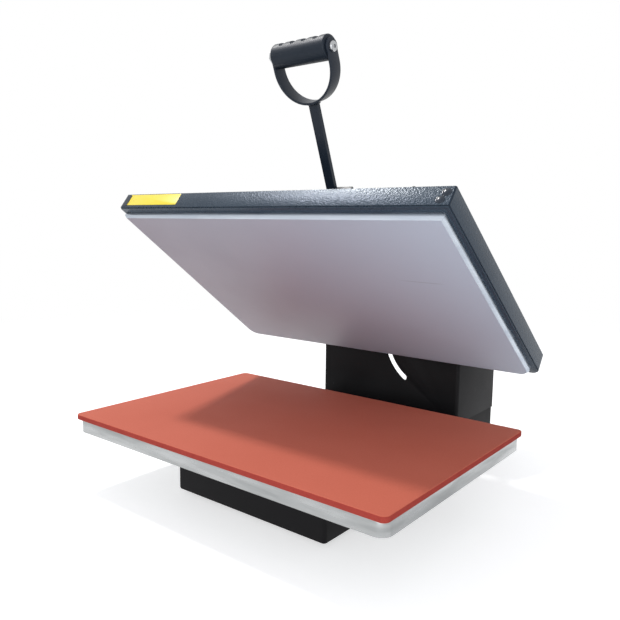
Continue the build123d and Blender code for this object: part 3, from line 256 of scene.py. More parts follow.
# Colour that drifts slowly between two tones, with a finer mottling laid over it
drift, given, put = new_group(
    "drifting tone",
    {"Place": "vector", "First": "colour", "Second": "colour", "Scale": "value", "Mottle": "value"},
    {"Colour": "colour", "Value": "value"},
)
broad = add_node(drift, "ShaderNodeTexNoise", Vector=given["Place"], Scale=given["Scale"], Detail=4.0)
fine = add_node(drift, "ShaderNodeTexNoise", Vector=given["Place"], Scale=mottle_scale, Detail=3.0)
share = add_node(drift, "ShaderNodeMix", s0=given["Mottle"], s2=broad.outputs["Fac"],
                 s3=fine.outputs["Fac"])
wide = rescale(drift, share.outputs[0], From_Min=tone_low, From_Max=tone_high)
drift.links.new(mix_colour(drift, wide, given["First"], given["Second"]), put["Colour"])
drift.links.new(wide, put["Value"])

# Fine surface relief: rounded grains of one size over a slower swell
relief, given, put = new_group(
    "surface relief",
    {"Place": "vector", "Grain": "value", "Swell": "value", "Swell Share": "value"},
    {"Height": "value"},
)
grain = add_node(relief, "ShaderNodeTexNoise", Vector=given["Place"], Scale=given["Grain"], Detail=2.0)
swell = add_node(relief, "ShaderNodeTexNoise", Vector=given["Place"], Scale=given["Swell"], Detail=1.0)
share = add_node(relief, "ShaderNodeMix", s0=given["Swell Share"], s2=grain.outputs["Fac"],
                 s3=swell.outputs["Fac"])
relief.links.new(share.outputs[0], put["Height"])

# Handling marks: sparse rubbed patches and short scuffs, 1 where the surface is marked
marks, given, put = new_group("rubbed marks", {"Place": "vector", "Scale": "value", "Amount": "value"},
                              {"Mask": "value"})
patch = add_node(marks, "ShaderNodeTexNoise", Vector=given["Place"], Scale=given["Scale"], Detail=5.0,
                 Roughness=0.62, Distortion=0.6)
edge_low = calculate(marks, "SUBTRACT", rub_level, given["Amount"])
edge_high = calculate(marks, "ADD", edge_low, rub_edge)
mask = rescale(marks, patch.outputs["Fac"], From_Min=edge_low, From_Max=edge_high)
marks.links.new(mask, put["Mask"])


def finish_material(name, first, second, roughness, metallic=0.0, specular=0.5, tone_scale=9.0, mottle=0.2,
                    rough_spread=0.08, grain=900.0, swell=60.0, swell_share=0.2, height=0.25, step=0.1 * MM,
                    rubbed=None, rub_scale=60.0, rub_amount=0.12, rub_rough=0.1):
    """A finish of drifting colour, roughness that follows it, handling marks and fine relief."""
    material, tree, shader, place = new_material(name)
    tone = use_group(tree, drift, Place=place, First=first, Second=second, Scale=tone_scale, Mottle=mottle)
    rough = rescale(tree, tone["Value"], To_Min=roughness - rough_spread, To_Max=roughness + rough_spread)
    colour = tone["Colour"]
    if rubbed:
        mask = use_group(tree, marks, Place=place, Scale=rub_scale, Amount=rub_amount)["Mask"]
        colour = mix_colour(tree, mask, colour, rubbed)
        rough = calculate(tree, "ADD", rough, calculate(tree, "MULTIPLY", mask, rub_rough))
    tree.links.new(colour, shader.inputs["Base Color"])
    tree.links.new(rough, shader.inputs["Roughness"])
    shader.inputs["Metallic"].default_value = metallic
    shader.inputs["Specular IOR Level"].default_value = specular
    bumps = use_group(tree, relief, Place=place, Grain=grain, Swell=swell, Swell_Share=swell_share)
    bump = add_node(tree, "ShaderNodeBump", Strength=height, Distance=step, Height=bumps["Height"])
    tree.links.new(bump.outputs["Normal"], shader.inputs["Normal"])
    return material


def merged_copy(node):
    """A copy of a part with its loose triangles joined into whole faces."""
    bpy.ops.object.select_all(action="DESELECT")
    piece = nodes[node].copy()
    piece.data = nodes[node].data.copy()
    piece.parent = None
    piece.matrix_world = Matrix.Identity(4)
    piece.name = node + "_finished"
    bpy.context.scene.collection.objects.link(piece)
    piece.select_set(True)
    bpy.context.view_layer.objects.active = piece
    bpy.ops.object.mode_set(mode="EDIT")
    bpy.ops.mesh.select_all(action="SELECT")
    bpy.ops.mesh.remove_doubles(threshold=join_distance)
    bpy.ops.mesh.dissolve_limited(angle_limit=flat_angle)
    bpy.ops.object.mode_set(mode="OBJECT")
    return piece


def break_edges(piece, width, segments=2, crease=35):
    """Round the sharp edges a little, as a brush of paint or a deburring tool leaves them."""
    if width:
        bevel = piece.modifiers.new("broken_edges", "BEVEL")
        bevel.width = width
        bevel.segments = segments
        bevel.limit_method = "ANGLE"
        bevel.angle_limit = math.radians(crease)
        bpy.ops.object.modifier_apply(modifier=bevel.name)
    bpy.ops.object.shade_smooth_by_angle(angle=math.radians(crease))


def stand_for(piece, node, *materials):
    """Give a piece its materials, and let it stand for a part on the part's own body."""
    piece.data.materials.clear()
    for material in materials:
        piece.data.materials.append(material)
    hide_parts(node)
    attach(piece, body_of[node])


def finished_copy(node, material, edge=0.5 * MM, segments=2, crease=35):
    """A part with its edges broken and its finish on."""
    piece = merged_copy(node)
    break_edges(piece, edge, segments, crease)
    stand_for(piece, node, material)
    return piece


powder = finish_material("black_powder_coat", powder_black, powder_grey, roughness=0.55, specular=0.10,
                         tone_scale=6.0, mottle=0.35, grain=1500.0, swell=240.0, swell_share=0.45,
                         height=0.5, step=0.08 * MM, rubbed=powder_rubbed, rub_scale=22.0, rub_amount=0.10)
for name in ("base_tray", "base_bottom_plate", "column_shell", "column_rear_tie", "platen_support_rails"):
    finished_copy(name, powder)

rubber = finish_material("black_rubber", rubber_black, rubber_grey, roughness=0.80, specular=0.3,
                         tone_scale=60.0, mottle=0.5, grain=700.0, swell=180.0, height=0.6, step=0.2 * MM)
finished_copy("rubber_feet", rubber, edge=0.8 * MM, segments=3)


# The lower platen: an aluminium casting, ground bright along its edges, ribbed below and rounded
# at its corners. Long grinding lines run level round its edges, with hardly a stain.
ground_light = (0.40, 0.41, 0.41, 1)
ground_dark = (0.30, 0.31, 0.31, 1)
stain_grey = (0.24, 0.24, 0.25, 1)
stain_scale = 28.0
streak_low, streak_high = 0.36, 0.64
threads_a_streak = 9.0
line_depth = 0.05 * MM

# Grinding or drawing lines: noise pulled out level with the ground
lines, given, put = new_group("drawn lines", {"Place": "vector", "Pull": "value", "Scale": "value"},
                              {"Value": "value", "Height": "value"})
apart = add_node(lines, "ShaderNodeSeparateXYZ", Vector=given["Place"])
level = add_node(lines, "ShaderNodeCombineXYZ", X=apart.outputs["X"], Y=apart.outputs["Y"],
                 Z=calculate(lines, "MULTIPLY", apart.outputs["Z"], given["Pull"]))
streak = add_node(lines, "ShaderNodeTexNoise", Vector=level.outputs[0], Scale=given["Scale"], Detail=5.0,
                  Roughness=0.6)
thread = add_node(lines, "ShaderNodeTexNoise", Vector=level.outputs[0], Detail=2.0,
                  Scale=calculate(lines, "MULTIPLY", given["Scale"], threads_a_streak))
wide = rescale(lines, streak.outputs["Fac"], From_Min=streak_low, From_Max=streak_high)
lines.links.new(wide, put["Value"])
lines.links.new(thread.outputs["Fac"], put["Height"])


def drawn_metal(name, light, dark, stain, roughness, scale, pull, stain_amount, height, spread=0.1):
    """Bare metal with drawn lines in its tone, gloss and relief, and a few stains."""
    material, tree, shader, place = new_material(name)
    line = use_group(tree, lines, Place=place, Pull=pull, Scale=scale)
    mask = use_group(tree, marks, Place=place, Scale=stain_scale, Amount=stain_amount)["Mask"]
    soiled = mix_colour(tree, mask, mix_colour(tree, line["Value"], light, dark), stain)
    rough = rescale(tree, line["Value"], To_Min=roughness - spread, To_Max=roughness + spread)
    bump = add_node(tree, "ShaderNodeBump", Strength=height, Distance=line_depth, Height=line["Height"])
    tree.links.new(soiled, shader.inputs["Base Color"])
    tree.links.new(rough, shader.inputs["Roughness"])
    tree.links.new(bump.outputs["Normal"], shader.inputs["Normal"])
    shader.inputs["Metallic"].default_value = 1.0
    return material


casting = drawn_metal("ground_casting", ground_light, ground_dark, stain_grey, roughness=0.30, scale=7.0,
                      pull=9.0, stain_amount=0.02, height=0.25)
finished_copy("lower_platen", casting, edge=0.8 * MM)


# The work pad: a sheet of brick-red silicone sponge, cut with rounded corners and laid loose on
# the lower platen, which it overhangs a little all round. Its skin is matt and finely pitted,
# and its side faces are painted a darker red, a painted shade on the sides.
X, Z = Vector((1, 0, 0)), Vector((0, 0, 1))
parallel = 0.999
pad_corner = 9.0 * MM
pad_soft_edge = 1.2 * MM
pad_light = (0.600, 0.142, 0.088, 1.0)
pad_deep = (0.540, 0.124, 0.076, 1.0)
pad_dust = (0.640, 0.185, 0.135, 1.0)
# The darker red for the side faces is painted shade, not the sponge's own colour.
pad_side_painted_shade = (0.400, 0.060, 0.045, 1.0)
pad_side_painted_shade_deep = (0.340, 0.048, 0.038, 1.0)
pad_skin_slope = 0.6


def choose(piece, element, test):
    """In edit mode, select only the faces or edges of a piece that pass a test."""
    bpy.ops.mesh.select_mode(type=element)
    mesh = bmesh.from_edit_mesh(piece.data)
    bpy.ops.mesh.select_all(action="DESELECT")
    for part in mesh.faces if element == "FACE" else mesh.edges:
        if test(part):
            part.select_set(True)
    bmesh.update_edit_mesh(piece.data)


def runs_along(edge, direction):
    """Whether an edge runs along a direction."""
    run = edge.verts[1].co - edge.verts[0].co
    return abs(run.dot(direction)) > parallel * run.length


def new_block(name, middle, size):
    """A block in edit mode at its size and place."""
    bpy.ops.object.select_all(action="DESELECT")
    bpy.ops.mesh.primitive_cube_add(size=1, location=middle, scale=size)
    piece = bpy.context.object
    piece.name = name
    bpy.ops.object.transform_apply(location=True, rotation=True, scale=True)
    bpy.ops.object.mode_set(mode="EDIT")
    return piece


low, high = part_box("work_pad")
pad = new_block("silicone_pad", (low + high) / 2, high - low)
choose(pad, "EDGE", lambda edge: runs_along(edge, Z))
bpy.ops.mesh.bevel(offset=pad_corner, segments=8, affect="EDGES")
choose(pad, "EDGE", lambda edge: not runs_along(edge, Z))
bpy.ops.mesh.bevel(offset=pad_soft_edge, segments=3, affect="EDGES")
bpy.ops.object.mode_set(mode="OBJECT")
bpy.ops.object.shade_smooth_by_angle(angle=math.radians(40))
sponge = finish_material("silicone_sponge", pad_light, pad_deep, roughness=0.74, specular=0.22,
                         tone_scale=4.0, mottle=0.4, grain=1400.0, swell=45.0, swell_share=0.3, height=0.6,
                         step=0.12 * MM, rubbed=pad_dust, rub_scale=16.0, rub_amount=0.06)
sponge_side_painted_shade = finish_material("sponge_side_painted_shade", pad_side_painted_shade, pad_side_painted_shade_deep, roughness=0.85, specular=0.1,
                             tone_scale=40.0, mottle=0.5, grain=900.0, swell=200.0, swell_share=0.4,
                             height=0.8, step=0.2 * MM)
stand_for(pad, "work_pad", sponge, sponge_side_painted_shade)
# Side faces take the darker copy of the sponge: painted shade on the sides.
for face in pad.data.polygons:
    face.material_index = 0 if abs(face.normal.z) > pad_skin_slope else 1


# The pivot plates stand inside the column, with the stub shafts, bushes, rings and stops between
# them. The plates are powder coated like the column; the shafts, the pins and the screws of the
# whole frame are bright zinc plate.
zinc_light = (0.50, 0.51, 0.52, 1)
zinc_dark = (0.38, 0.39, 0.41, 1)
zinc_stain = (0.28, 0.28, 0.28, 1)
steel_light = (0.17, 0.165, 0.16, 1)
steel_dark = (0.10, 0.10, 0.105, 1)
steel_oil = (0.12, 0.08, 0.05, 1)
bronze_light = (0.45, 0.27, 0.10, 1)
bronze_dark = (0.34, 0.20, 0.08, 1)

zinc = drawn_metal("zinc_plate", zinc_light, zinc_dark, zinc_stain, roughness=0.32, scale=60.0, pull=3.0,
                   stain_amount=0.10, height=0.2, spread=0.06)
spring_steel = drawn_metal("oiled_spring_steel", steel_light, steel_dark, steel_oil, roughness=0.36,
                           scale=80.0, pull=1.0, stain_amount=0.12, height=0.2)
bronze = finish_material("sintered_bronze", bronze_light, bronze_dark, roughness=0.45, metallic=1.0,
                         tone_scale=90.0, mottle=0.5, grain=1800.0, height=0.6)
for name in ("inner_pivot_plates", "outer_pivot_plates"):
    finished_copy(name, powder)
for name in ("foot_screws", "frame_bolts", "pivot_shafts", "shaft_spacers", "stop_pins"):
    finished_copy(name, zinc, edge=0.25 * MM)
finished_copy("retaining_rings", spring_steel, edge=0.1 * MM)
finished_copy("arm_bushes", bronze, edge=0.2 * MM)


# The torsion springs: 6 mm wire wound nearly five turns at each side of the hinge, one straight
# leg down the pivot plate and one along the arm. They carry the swinging half's weight.
hinge_y, hinge_z = 215.95 * MM, 136.2 * MM
coil_radius = 18.0 * MM
wire_radius = 3.0 * MM
coil_near, coil_far = 108.5 * MM, 74.5 * MM
coil_turn = math.radians(1762.8)
leg_length = 46.0 * MM
steps_a_turn = 36
wire_sides = 14


def torsion_spring(name, side):
    """A round wire section turned into a helix, with a straight leg drawn out at each end."""
    turns_shift = side * (coil_far - coil_near)
    bpy.ops.object.select_all(action="DESELECT")
    bpy.ops.mesh.primitive_circle_add(vertices=wire_sides, radius=wire_radius, fill_type="NOTHING",
                                      location=(0, coil_radius, 0))
    piece = bpy.context.object
    piece.name = name
    bpy.ops.object.transform_apply(location=True, rotation=True, scale=True)
    turns = piece.modifiers.new("turns", "SCREW")
    turns.axis = "X"
    turns.angle = coil_turn
    turns.steps = turns.render_steps = round(coil_turn / math.tau * steps_a_turn)
    turns.screw_offset = turns_shift
    bpy.ops.object.modifier_apply(modifier=turns.name)
    bpy.ops.object.mode_set(mode="EDIT")
    heading = Vector((0, -math.sin(coil_turn), math.cos(coil_turn)))
    for far_end, leg in ((False, -Z), (True, heading)):
        choose(piece, "EDGE", lambda edge: edge.is_boundary
               and (abs(edge.verts[0].co.x) > abs(turns_shift) / 2) == far_end)
        bpy.ops.mesh.extrude_edges_move(TRANSFORM_OT_translate={"value": leg * leg_length})
        bpy.ops.mesh.edge_face_add()
    bpy.ops.mesh.select_all(action="SELECT")
    bpy.ops.mesh.normals_make_consistent(inside=False)
    bpy.ops.object.mode_set(mode="OBJECT")
    bpy.ops.object.shade_smooth_by_angle(angle=math.radians(45))
    piece.location = (side * coil_near, hinge_y, hinge_z)
    bpy.ops.object.transform_apply(location=True, rotation=True, scale=True)
    piece.data.materials.append(spring_steel)
    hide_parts("torsion_springs")
    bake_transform(piece)


torsion_spring("torsion_spring_right", 1)
torsion_spring("torsion_spring_left", -1)


# The swinging half's frame: two arms joined by a bridge and a rear tie, cut from plate and powder
# coated. The pressure screw runs in a bronze nut in the bridge and is turned by a plastic knob.
plastic_black = (0.014, 0.016, 0.020, 1)
plastic_grey = (0.022, 0.025, 0.030, 1)
plastic_rubbed = (0.05, 0.052, 0.056, 1)

black_plastic = finish_material("black_plastic", plastic_black, plastic_grey, roughness=0.42, specular=0.4,
                                tone_scale=30.0, mottle=0.4, grain=1300.0, swell=300.0, height=0.5,
                                rubbed=plastic_rubbed, rub_scale=80.0)
for name in ("swing_arms", "arm_bridge"):
    finished_copy(name, powder)
for name in ("arm_rear_tie", "fulcrum_bolt", "fulcrum_spacers", "pressure_screw"):
    finished_copy(name, zinc, edge=0.25 * MM)
finished_copy("pressure_nut", bronze, edge=0.3 * MM)
finished_copy("pressure_knob", black_plastic, edge=0.8 * MM, segments=3)
finished_copy("start_switch", black_plastic, edge=0.3 * MM)


# The lever: a flat steel bar welded to the slotted crank below and to a strap bent into a yoke
# above, all sprayed a glossy navy black. Links join the crank's tail to the anchor shaft.
navy_black = (0.0100, 0.0160, 0.0270, 1)
navy_grey = (0.0150, 0.0220, 0.0350, 1)
navy_worn = (0.055, 0.062, 0.072, 1)
lever_face = Vector((0, 0.9317, 0.3632))
weld_middle = Vector((0, -73.2, 624.0)) * MM
weld_half_across, weld_half_deep = 8.6 * MM, 4.1 * MM
weld_squareness = 1.35
weld_bead_radius = 1.7 * MM
weld_ripple = 0.16
weld_points = 40
points_a_ripple = 4

navy = finish_material("navy_paint", navy_black, navy_grey, roughness=0.36, specular=0.24, tone_scale=14.0,
                       mottle=0.3, grain=900.0, swell=160.0, swell_share=0.6, height=0.5, step=0.1 * MM,
                       rubbed=navy_worn, rub_scale=70.0, rub_amount=0.13)
for name in ("lever_crank", "lever_bar", "handle_yoke"):
    finished_copy(name, navy, edge=0.6 * MM, segments=3)
finished_copy("links", powder)
for name in ("link_pins", "grip_tube", "grip_bolt"):
    finished_copy(name, zinc, edge=0.2 * MM)
finished_copy("lever_bush", bronze, edge=0.2 * MM)


def bead_point(share):
    """A point on the rounded rectangle that the yoke's weld follows round the bar."""
    angle = share * math.tau
    across = max(-1.0, min(1.0, weld_squareness * math.cos(angle)))
    deep = max(-1.0, min(1.0, weld_squareness * math.sin(angle)))
    return weld_middle + X * across * weld_half_across + lever_face * deep * weld_half_deep


def weld_ring(name, points, radius, ripple):
    """A closed bead along points, swollen and pinched like the ripples of a hand weld."""
    bpy.ops.object.select_all(action="DESELECT")
    bpy.ops.curve.primitive_bezier_circle_add(radius=1)
    piece = bpy.context.object
    piece.name = name
    curve = piece.data
    curve.splines.clear()
    spline = curve.splines.new("POLY")
    spline.points.add(len(points) - 1)
    spline.use_cyclic_u = True
    for index, point in enumerate(points):
        spline.points[index].co = (*point, 1)
        spline.points[index].radius = 1 + ripple * math.sin(index * math.tau / points_a_ripple)
    curve.dimensions = "3D"
    curve.bevel_depth = radius
    curve.bevel_resolution = 3
    bpy.ops.object.convert(target="MESH")
    bpy.ops.object.shade_smooth()
    return piece


weld = weld_ring("yoke_weld", [bead_point(index / weld_points) for index in range(weld_points)],
                 weld_bead_radius, weld_ripple)
weld.data.materials.append(navy)
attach(weld, "lever")


# The grip: a black plastic moulding over a steel tube, with finger waves along its upper side.
# Its skin is satin, and slightly polished in places by hands.
grip_black = (0.0110, 0.0165, 0.0260, 1)
grip_grey = (0.0165, 0.0235, 0.0345, 1)
grip_rubbed = (0.035, 0.042, 0.052, 1)

grip_plastic = finish_material("grip_plastic", grip_black, grip_grey, roughness=0.44, specular=0.20,
                               tone_scale=22.0, mottle=0.35, grain=1200.0, swell=300.0, swell_share=0.3,
                               height=0.6, step=0.1 * MM, rubbed=grip_rubbed, rub_scale=90.0,
                               rub_rough=-0.08)
finished_copy("handle_grip", grip_plastic, edge=0.9 * MM, segments=3)


# The heater plate: an aluminium slab with a grey non-stick coat baked on its working face. Its
# edge and its bevel are milled bright. The coat has a faint mottle and one long dark scratch, and
# gets lighter and cooler towards the right, partly its own tone and partly painted light.
open_tilt = math.radians(37.2)
working_normal = Vector((0, -0.6046, -0.7965))
platen_up = Vector((0, 0.6046, 0.7965))
front_normal = Vector((0, -0.7965, 0.6046))
coat_light = (0.265, 0.240, 0.290, 1)
coat_deep = (0.230, 0.208, 0.252, 1)
# A lighter, cooler colour mixed in towards the right: partly the coat's tone, partly painted light for the
# brighter light there.
coat_cool_painted_light = (0.460, 0.520, 0.620, 1)
painted_light_start, painted_light_end, painted_light_share = -0.28, 0.30, 0.9
coat_specular = 0.42
coat_depth = 0.08 * MM
milled_light = (0.54, 0.59, 0.65, 1)
milled_dark = (0.44, 0.49, 0.56, 1)
milled_stain = (0.38, 0.42, 0.47, 1)
scratch_dark = (0.100, 0.090, 0.110, 1)
scratch_middle = (213.0 * MM, -100.0 * MM, 360.0 * MM)
scratch_turn = math.radians(2.5)
scratch_half = 37.0 * MM
scratch_full = 0.6 * scratch_half
scratch_width = 0.9 * MM
scratch_wander = 3 * MM


def is_working_face(face):
    """Whether a face lies in the heater's coated side."""
    return face.normal.dot(working_normal) > parallel


def scratch_mask(tree, place):
    """1 on one thin straight line on the coat, broken up along its length."""
    turned = add_node(tree, "ShaderNodeMapping", vector_type="TEXTURE", s0=place,
                      s1=scratch_middle, s2=(-open_tilt, 0, scratch_turn))
    run = add_node(tree, "ShaderNodeSeparateXYZ", Vector=turned.outputs[0])
    wander = add_node(tree, "ShaderNodeTexNoise", Vector=turned.outputs[0], Scale=30.0, Detail=3.0)
    swing = calculate(tree, "SUBTRACT", wander.outputs["Fac"], 0.5)
    offset = calculate(tree, "MULTIPLY", swing, scratch_wander)
    across = calculate(tree, "ABSOLUTE", calculate(tree, "ADD", run.outputs["Y"], offset))
    thin = rescale(tree, across, From_Min=0.0, From_Max=scratch_width, To_Min=1.0, To_Max=0.0)
    ends = rescale(tree, calculate(tree, "ABSOLUTE", run.outputs["X"]), From_Min=scratch_full,
                   From_Max=scratch_half, To_Min=1.0, To_Max=0.0)
    return calculate(tree, "MULTIPLY", thin, calculate(tree, "MULTIPLY", ends, wander.outputs["Fac"]))


coat, tree, shader, place = new_material("non_stick_coat")
tone = use_group(tree, drift, Place=place, First=coat_light, Second=coat_deep, Scale=5.0, Mottle=0.18)
across = add_node(tree, "ShaderNodeSeparateXYZ", Vector=place).outputs["X"]
# Towards +X the coat is painted lighter and cooler: partly its own tone, partly painted light.
cool_painted_light_mask = rescale(tree, across, From_Min=painted_light_start, From_Max=painted_light_end, To_Max=painted_light_share)
coat_with_painted_light = mix_colour(tree, cool_painted_light_mask, tone["Colour"], coat_cool_painted_light)
mask = scratch_mask(tree, place)
tree.links.new(mix_colour(tree, mask, coat_with_painted_light, scratch_dark), shader.inputs["Base Color"])
rough = rescale(tree, tone["Value"], To_Min=0.42, To_Max=0.50)
tree.links.new(rough, shader.inputs["Roughness"])
shader.inputs["Metallic"].default_value = 0.0
shader.inputs["Specular IOR Level"].default_value = coat_specular
bumps = use_group(tree, relief, Place=place, Grain=1100.0, Swell=26.0, Swell_Share=0.3)
deep = calculate(tree, "SUBTRACT", bumps["Height"], mask)
bump = add_node(tree, "ShaderNodeBump", Strength=0.3, Distance=coat_depth, Height=deep)
tree.links.new(bump.outputs["Normal"], shader.inputs["Normal"])

milled = drawn_metal("milled_aluminium", milled_light, milled_dark, milled_stain, roughness=0.34, scale=9.0,
                     pull=6.0, stain_amount=0.08, height=0.2)
heater = merged_copy("heater_plate")
break_edges(heater, 0.35 * MM)
stand_for(heater, "heater_plate", milled, coat)
for face in heater.data.polygons:
    face.material_index = 1 if is_working_face(face) else 0


# Behind the heater plate: a sheathed element clamped in its groove by strips, a blanket of ceramic
# fibre, posts, a carrier plate, and the swivel that hangs the whole from the pressure screw.
sheath_brown = (0.16, 0.13, 0.11, 1)
sheath_light = (0.24, 0.20, 0.17, 1)
sheath_heated = (0.10, 0.07, 0.09, 1)
wool_light = (0.78, 0.76, 0.70, 1)
wool_deep = (0.66, 0.63, 0.57, 1)

sheath = finish_material("heated_steel", sheath_brown, sheath_light, roughness=0.45, metallic=0.9,
                         tone_scale=18.0, mottle=0.3, rubbed=sheath_heated, rub_scale=20.0)
wool = finish_material("ceramic_wool", wool_light, wool_deep, roughness=0.95, specular=0.1,
                       tone_scale=30.0, mottle=0.6, grain=900.0, swell=120.0, swell_share=0.6, height=1.0,
                       step=0.8 * MM)
finished_copy("heating_element", sheath, edge=0)
finished_copy("thermocouple", sheath, edge=0.1 * MM)
for name in ("element_strips", "platen_posts", "carrier_plate", "swivel", "guide_pins"):
    finished_copy(name, zinc, edge=0.25 * MM)
blanket = finished_copy("insulation_blanket", wool, edge=2.0 * MM, segments=4, crease=60)


# The platen cover: a folded sheet steel tray turned down over the heater, its corners closed with
# welds, painted slate grey with a hammered finish. Its rounded corners get a darker copy of the
# paint, a painted dark reflection. A narrow shelf closes the gap to the heater.
cover_half = 308.5 * MM
cover_touch = 0.05 * MM
cover_turned = 0.12
cover_corner_radius = 4.0 * MM
slate_deep = (0.024, 0.037, 0.056, 1)
slate_light = (0.046, 0.066, 0.090, 1)
# A darker slate for the rounded corners: a painted dark reflection, not the paint's own colour.
slate_painted_reflection = (0.012, 0.016, 0.024, 1)
dimple_scale = 420.0
dimple_depth = 0.30 * MM
dimple_shake = 0.004
shake_scale = 120.0
rim_paleness = 0.55
grain_share = 0.6


def hammered_material(name, deep, light):
    """Paint that has drawn itself into small round dimples with a pale rim, over a metal flake."""
    material, tree, shader, place = new_material(name)
    shake = add_node(tree, "ShaderNodeTexNoise", Vector=place, Scale=shake_scale, Detail=2.0)
    moved = add_node(tree, "ShaderNodeMix", data_type="VECTOR", s0=dimple_shake, s4=place,
                     s5=shake.outputs["Color"])
    cells = add_node(tree, "ShaderNodeTexVoronoi", feature="SMOOTH_F1", Vector=moved.outputs[1],
                     Scale=dimple_scale, Smoothness=0.35)
    broad = use_group(tree, drift, Place=place, First=deep, Second=light, Scale=7.0, Mottle=0.5)
    rim = rescale(tree, cells.outputs["Distance"], From_Min=0.25, From_Max=0.75)
    pale = calculate(tree, "MULTIPLY", rim, rim_paleness)
    tree.links.new(mix_colour(tree, pale, broad["Colour"], light), shader.inputs["Base Color"])
    rough = rescale(tree, broad["Value"], To_Min=0.24, To_Max=0.32)
    tree.links.new(rough, shader.inputs["Roughness"])
    shader.inputs["Metallic"].default_value = 0.15
    shader.inputs["Specular IOR Level"].default_value = 0.14
    grain = use_group(tree, relief, Place=place, Grain=700.0, Swell=160.0, Swell_Share=0.5)
    finer = calculate(tree, "MULTIPLY", grain["Height"], grain_share)
    total = calculate(tree, "ADD", cells.outputs["Distance"], finer)
    bump = add_node(tree, "ShaderNodeBump", Strength=0.7, Distance=dimple_depth, Height=total)
    tree.links.new(bump.outputs["Normal"], shader.inputs["Normal"])
    return material


hammer = hammered_material("hammered_paint", slate_deep, slate_light)
# A darker copy of the hammered paint for the rounded corners: painted dark reflection.
corner_painted_reflection = hammered_material("corner_painted_reflection", slate_painted_reflection, slate_deep)
cover = merged_copy("platen_cover")
bpy.ops.object.mode_set(mode="EDIT")
choose(cover, "EDGE", lambda edge: runs_along(edge, platen_up)
       and min(abs(corner.co.x) for corner in edge.verts) > cover_half - cover_touch)
bpy.ops.mesh.bevel(offset=cover_corner_radius, segments=5, affect="EDGES")
bpy.ops.object.mode_set(mode="OBJECT")
break_edges(cover, 0.9 * MM, segments=3)
stand_for(cover, "platen_cover", hammer, corner_painted_reflection)
# Faces that turn the corner take the darker copy: a painted dark reflection.
for face in cover.data.polygons:
    turned = min(abs(face.normal.dot(front_normal)), abs(face.normal.x)) > cover_turned
    face.material_index = 1 if turned else 0
finished_copy("heat_shelf", hammer, edge=0.2 * MM)


# The corner welds: each front corner of the cover is closed with two weld spots with raised rims,
# painted over with the cover. The right corner has fat spots; the left one has small spots on a
# dark patch ground by hand, which also stands as painted shade on that corner.
face_origin = Vector((0, -213.8, 462.5)) * MM
face_tilt = math.pi / 2 - open_tilt
spot_radius = 6.0 * MM
spot_shape = (0.92, 0.78, 0.30)
rim_radius = 0.9 * MM
rim_shape = (1, 0.85, 1)
patch_width, patch_height, patch_thick = 12.0 * MM, 23.0 * MM, 1.2 * MM
patch_up, patch_out = 13.6 * MM, 0.1 * MM
skin_grid = 0.45 * MM
weld_black = (0.020, 0.027, 0.040, 1)
weld_grey = (0.032, 0.042, 0.058, 1)

weld_paint = finish_material("paint_over_weld", weld_black, weld_grey, roughness=0.22, specular=0.25,
                             tone_scale=60.0, grain=300.0, swell=120.0, swell_share=0.6, height=0.25,
                             step=0.1 * MM)


def lay_on_front(piece):
    """Stand a piece that was made flat on the cover's front face, X along and Y up it."""
    piece.rotation_euler = (face_tilt, 0, 0)
    piece.location = face_origin
    bpy.ops.object.select_all(action="DESELECT")
    piece.select_set(True)
    bpy.context.view_layer.objects.active = piece
    bpy.ops.object.transform_apply(location=True, rotation=True, scale=True)


def corner_weld(name, side, spots, patched):
    """Spots with raised rims, and at times a patch, in one skin, as molten steel and paint join them."""
    edge_x = side * (cover_half - cover_corner_radius)
    bpy.ops.object.select_all(action="DESELECT")
    parts = []
    # The left patch is a dark sheet: partly a ground patch, partly painted shade on that corner.
    if patched:
        bpy.ops.mesh.primitive_cube_add(size=1, scale=(patch_width, patch_height, patch_thick),
                                        location=(edge_x - side * patch_width / 2, patch_up, patch_out))
        parts.append(bpy.context.object)
    for inset, height, size in spots:
        spot = (edge_x - side * inset, height, 0)
        bpy.ops.mesh.primitive_uv_sphere_add(segments=32, ring_count=16, radius=size * spot_radius,
                                             location=spot, scale=spot_shape)
        parts.append(bpy.context.object)
        bpy.ops.mesh.primitive_torus_add(major_radius=size * spot_radius, minor_radius=rim_radius,
                                         major_segments=40, minor_segments=10, location=spot)
        bpy.context.object.scale = rim_shape
        parts.append(bpy.context.object)
    for part in parts:
        part.select_set(True)
    bpy.context.view_layer.objects.active = parts[0]
    bpy.ops.object.join()
    piece = bpy.context.object
    piece.name = name
    bpy.ops.object.transform_apply(location=True, rotation=True, scale=True)
    remesh = piece.modifiers.new("one_skin", "REMESH")
    remesh.mode = "VOXEL"
    remesh.voxel_size = skin_grid
    bpy.ops.object.modifier_apply(modifier=remesh.name)
    smooth = piece.modifiers.new("flow", "SMOOTH")
    smooth.factor = 0.7
    smooth.iterations = 10
    bpy.ops.object.modifier_apply(modifier=smooth.name)
    bpy.ops.object.shade_smooth()
    lay_on_front(piece)
    piece.data.materials.append(weld_paint)
    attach(piece, body_of["platen_cover"])


corner_weld("corner_weld_right", 1, spots=((5.6 * MM, 18.4 * MM, 1.0), (10.6 * MM, 7.4 * MM, 0.95)),
            patched=False)
corner_weld("corner_weld_left", -1, spots=((8.0 * MM, 19.5 * MM, 0.4), (8.6 * MM, 10.0 * MM, 0.4)),
            patched=True)


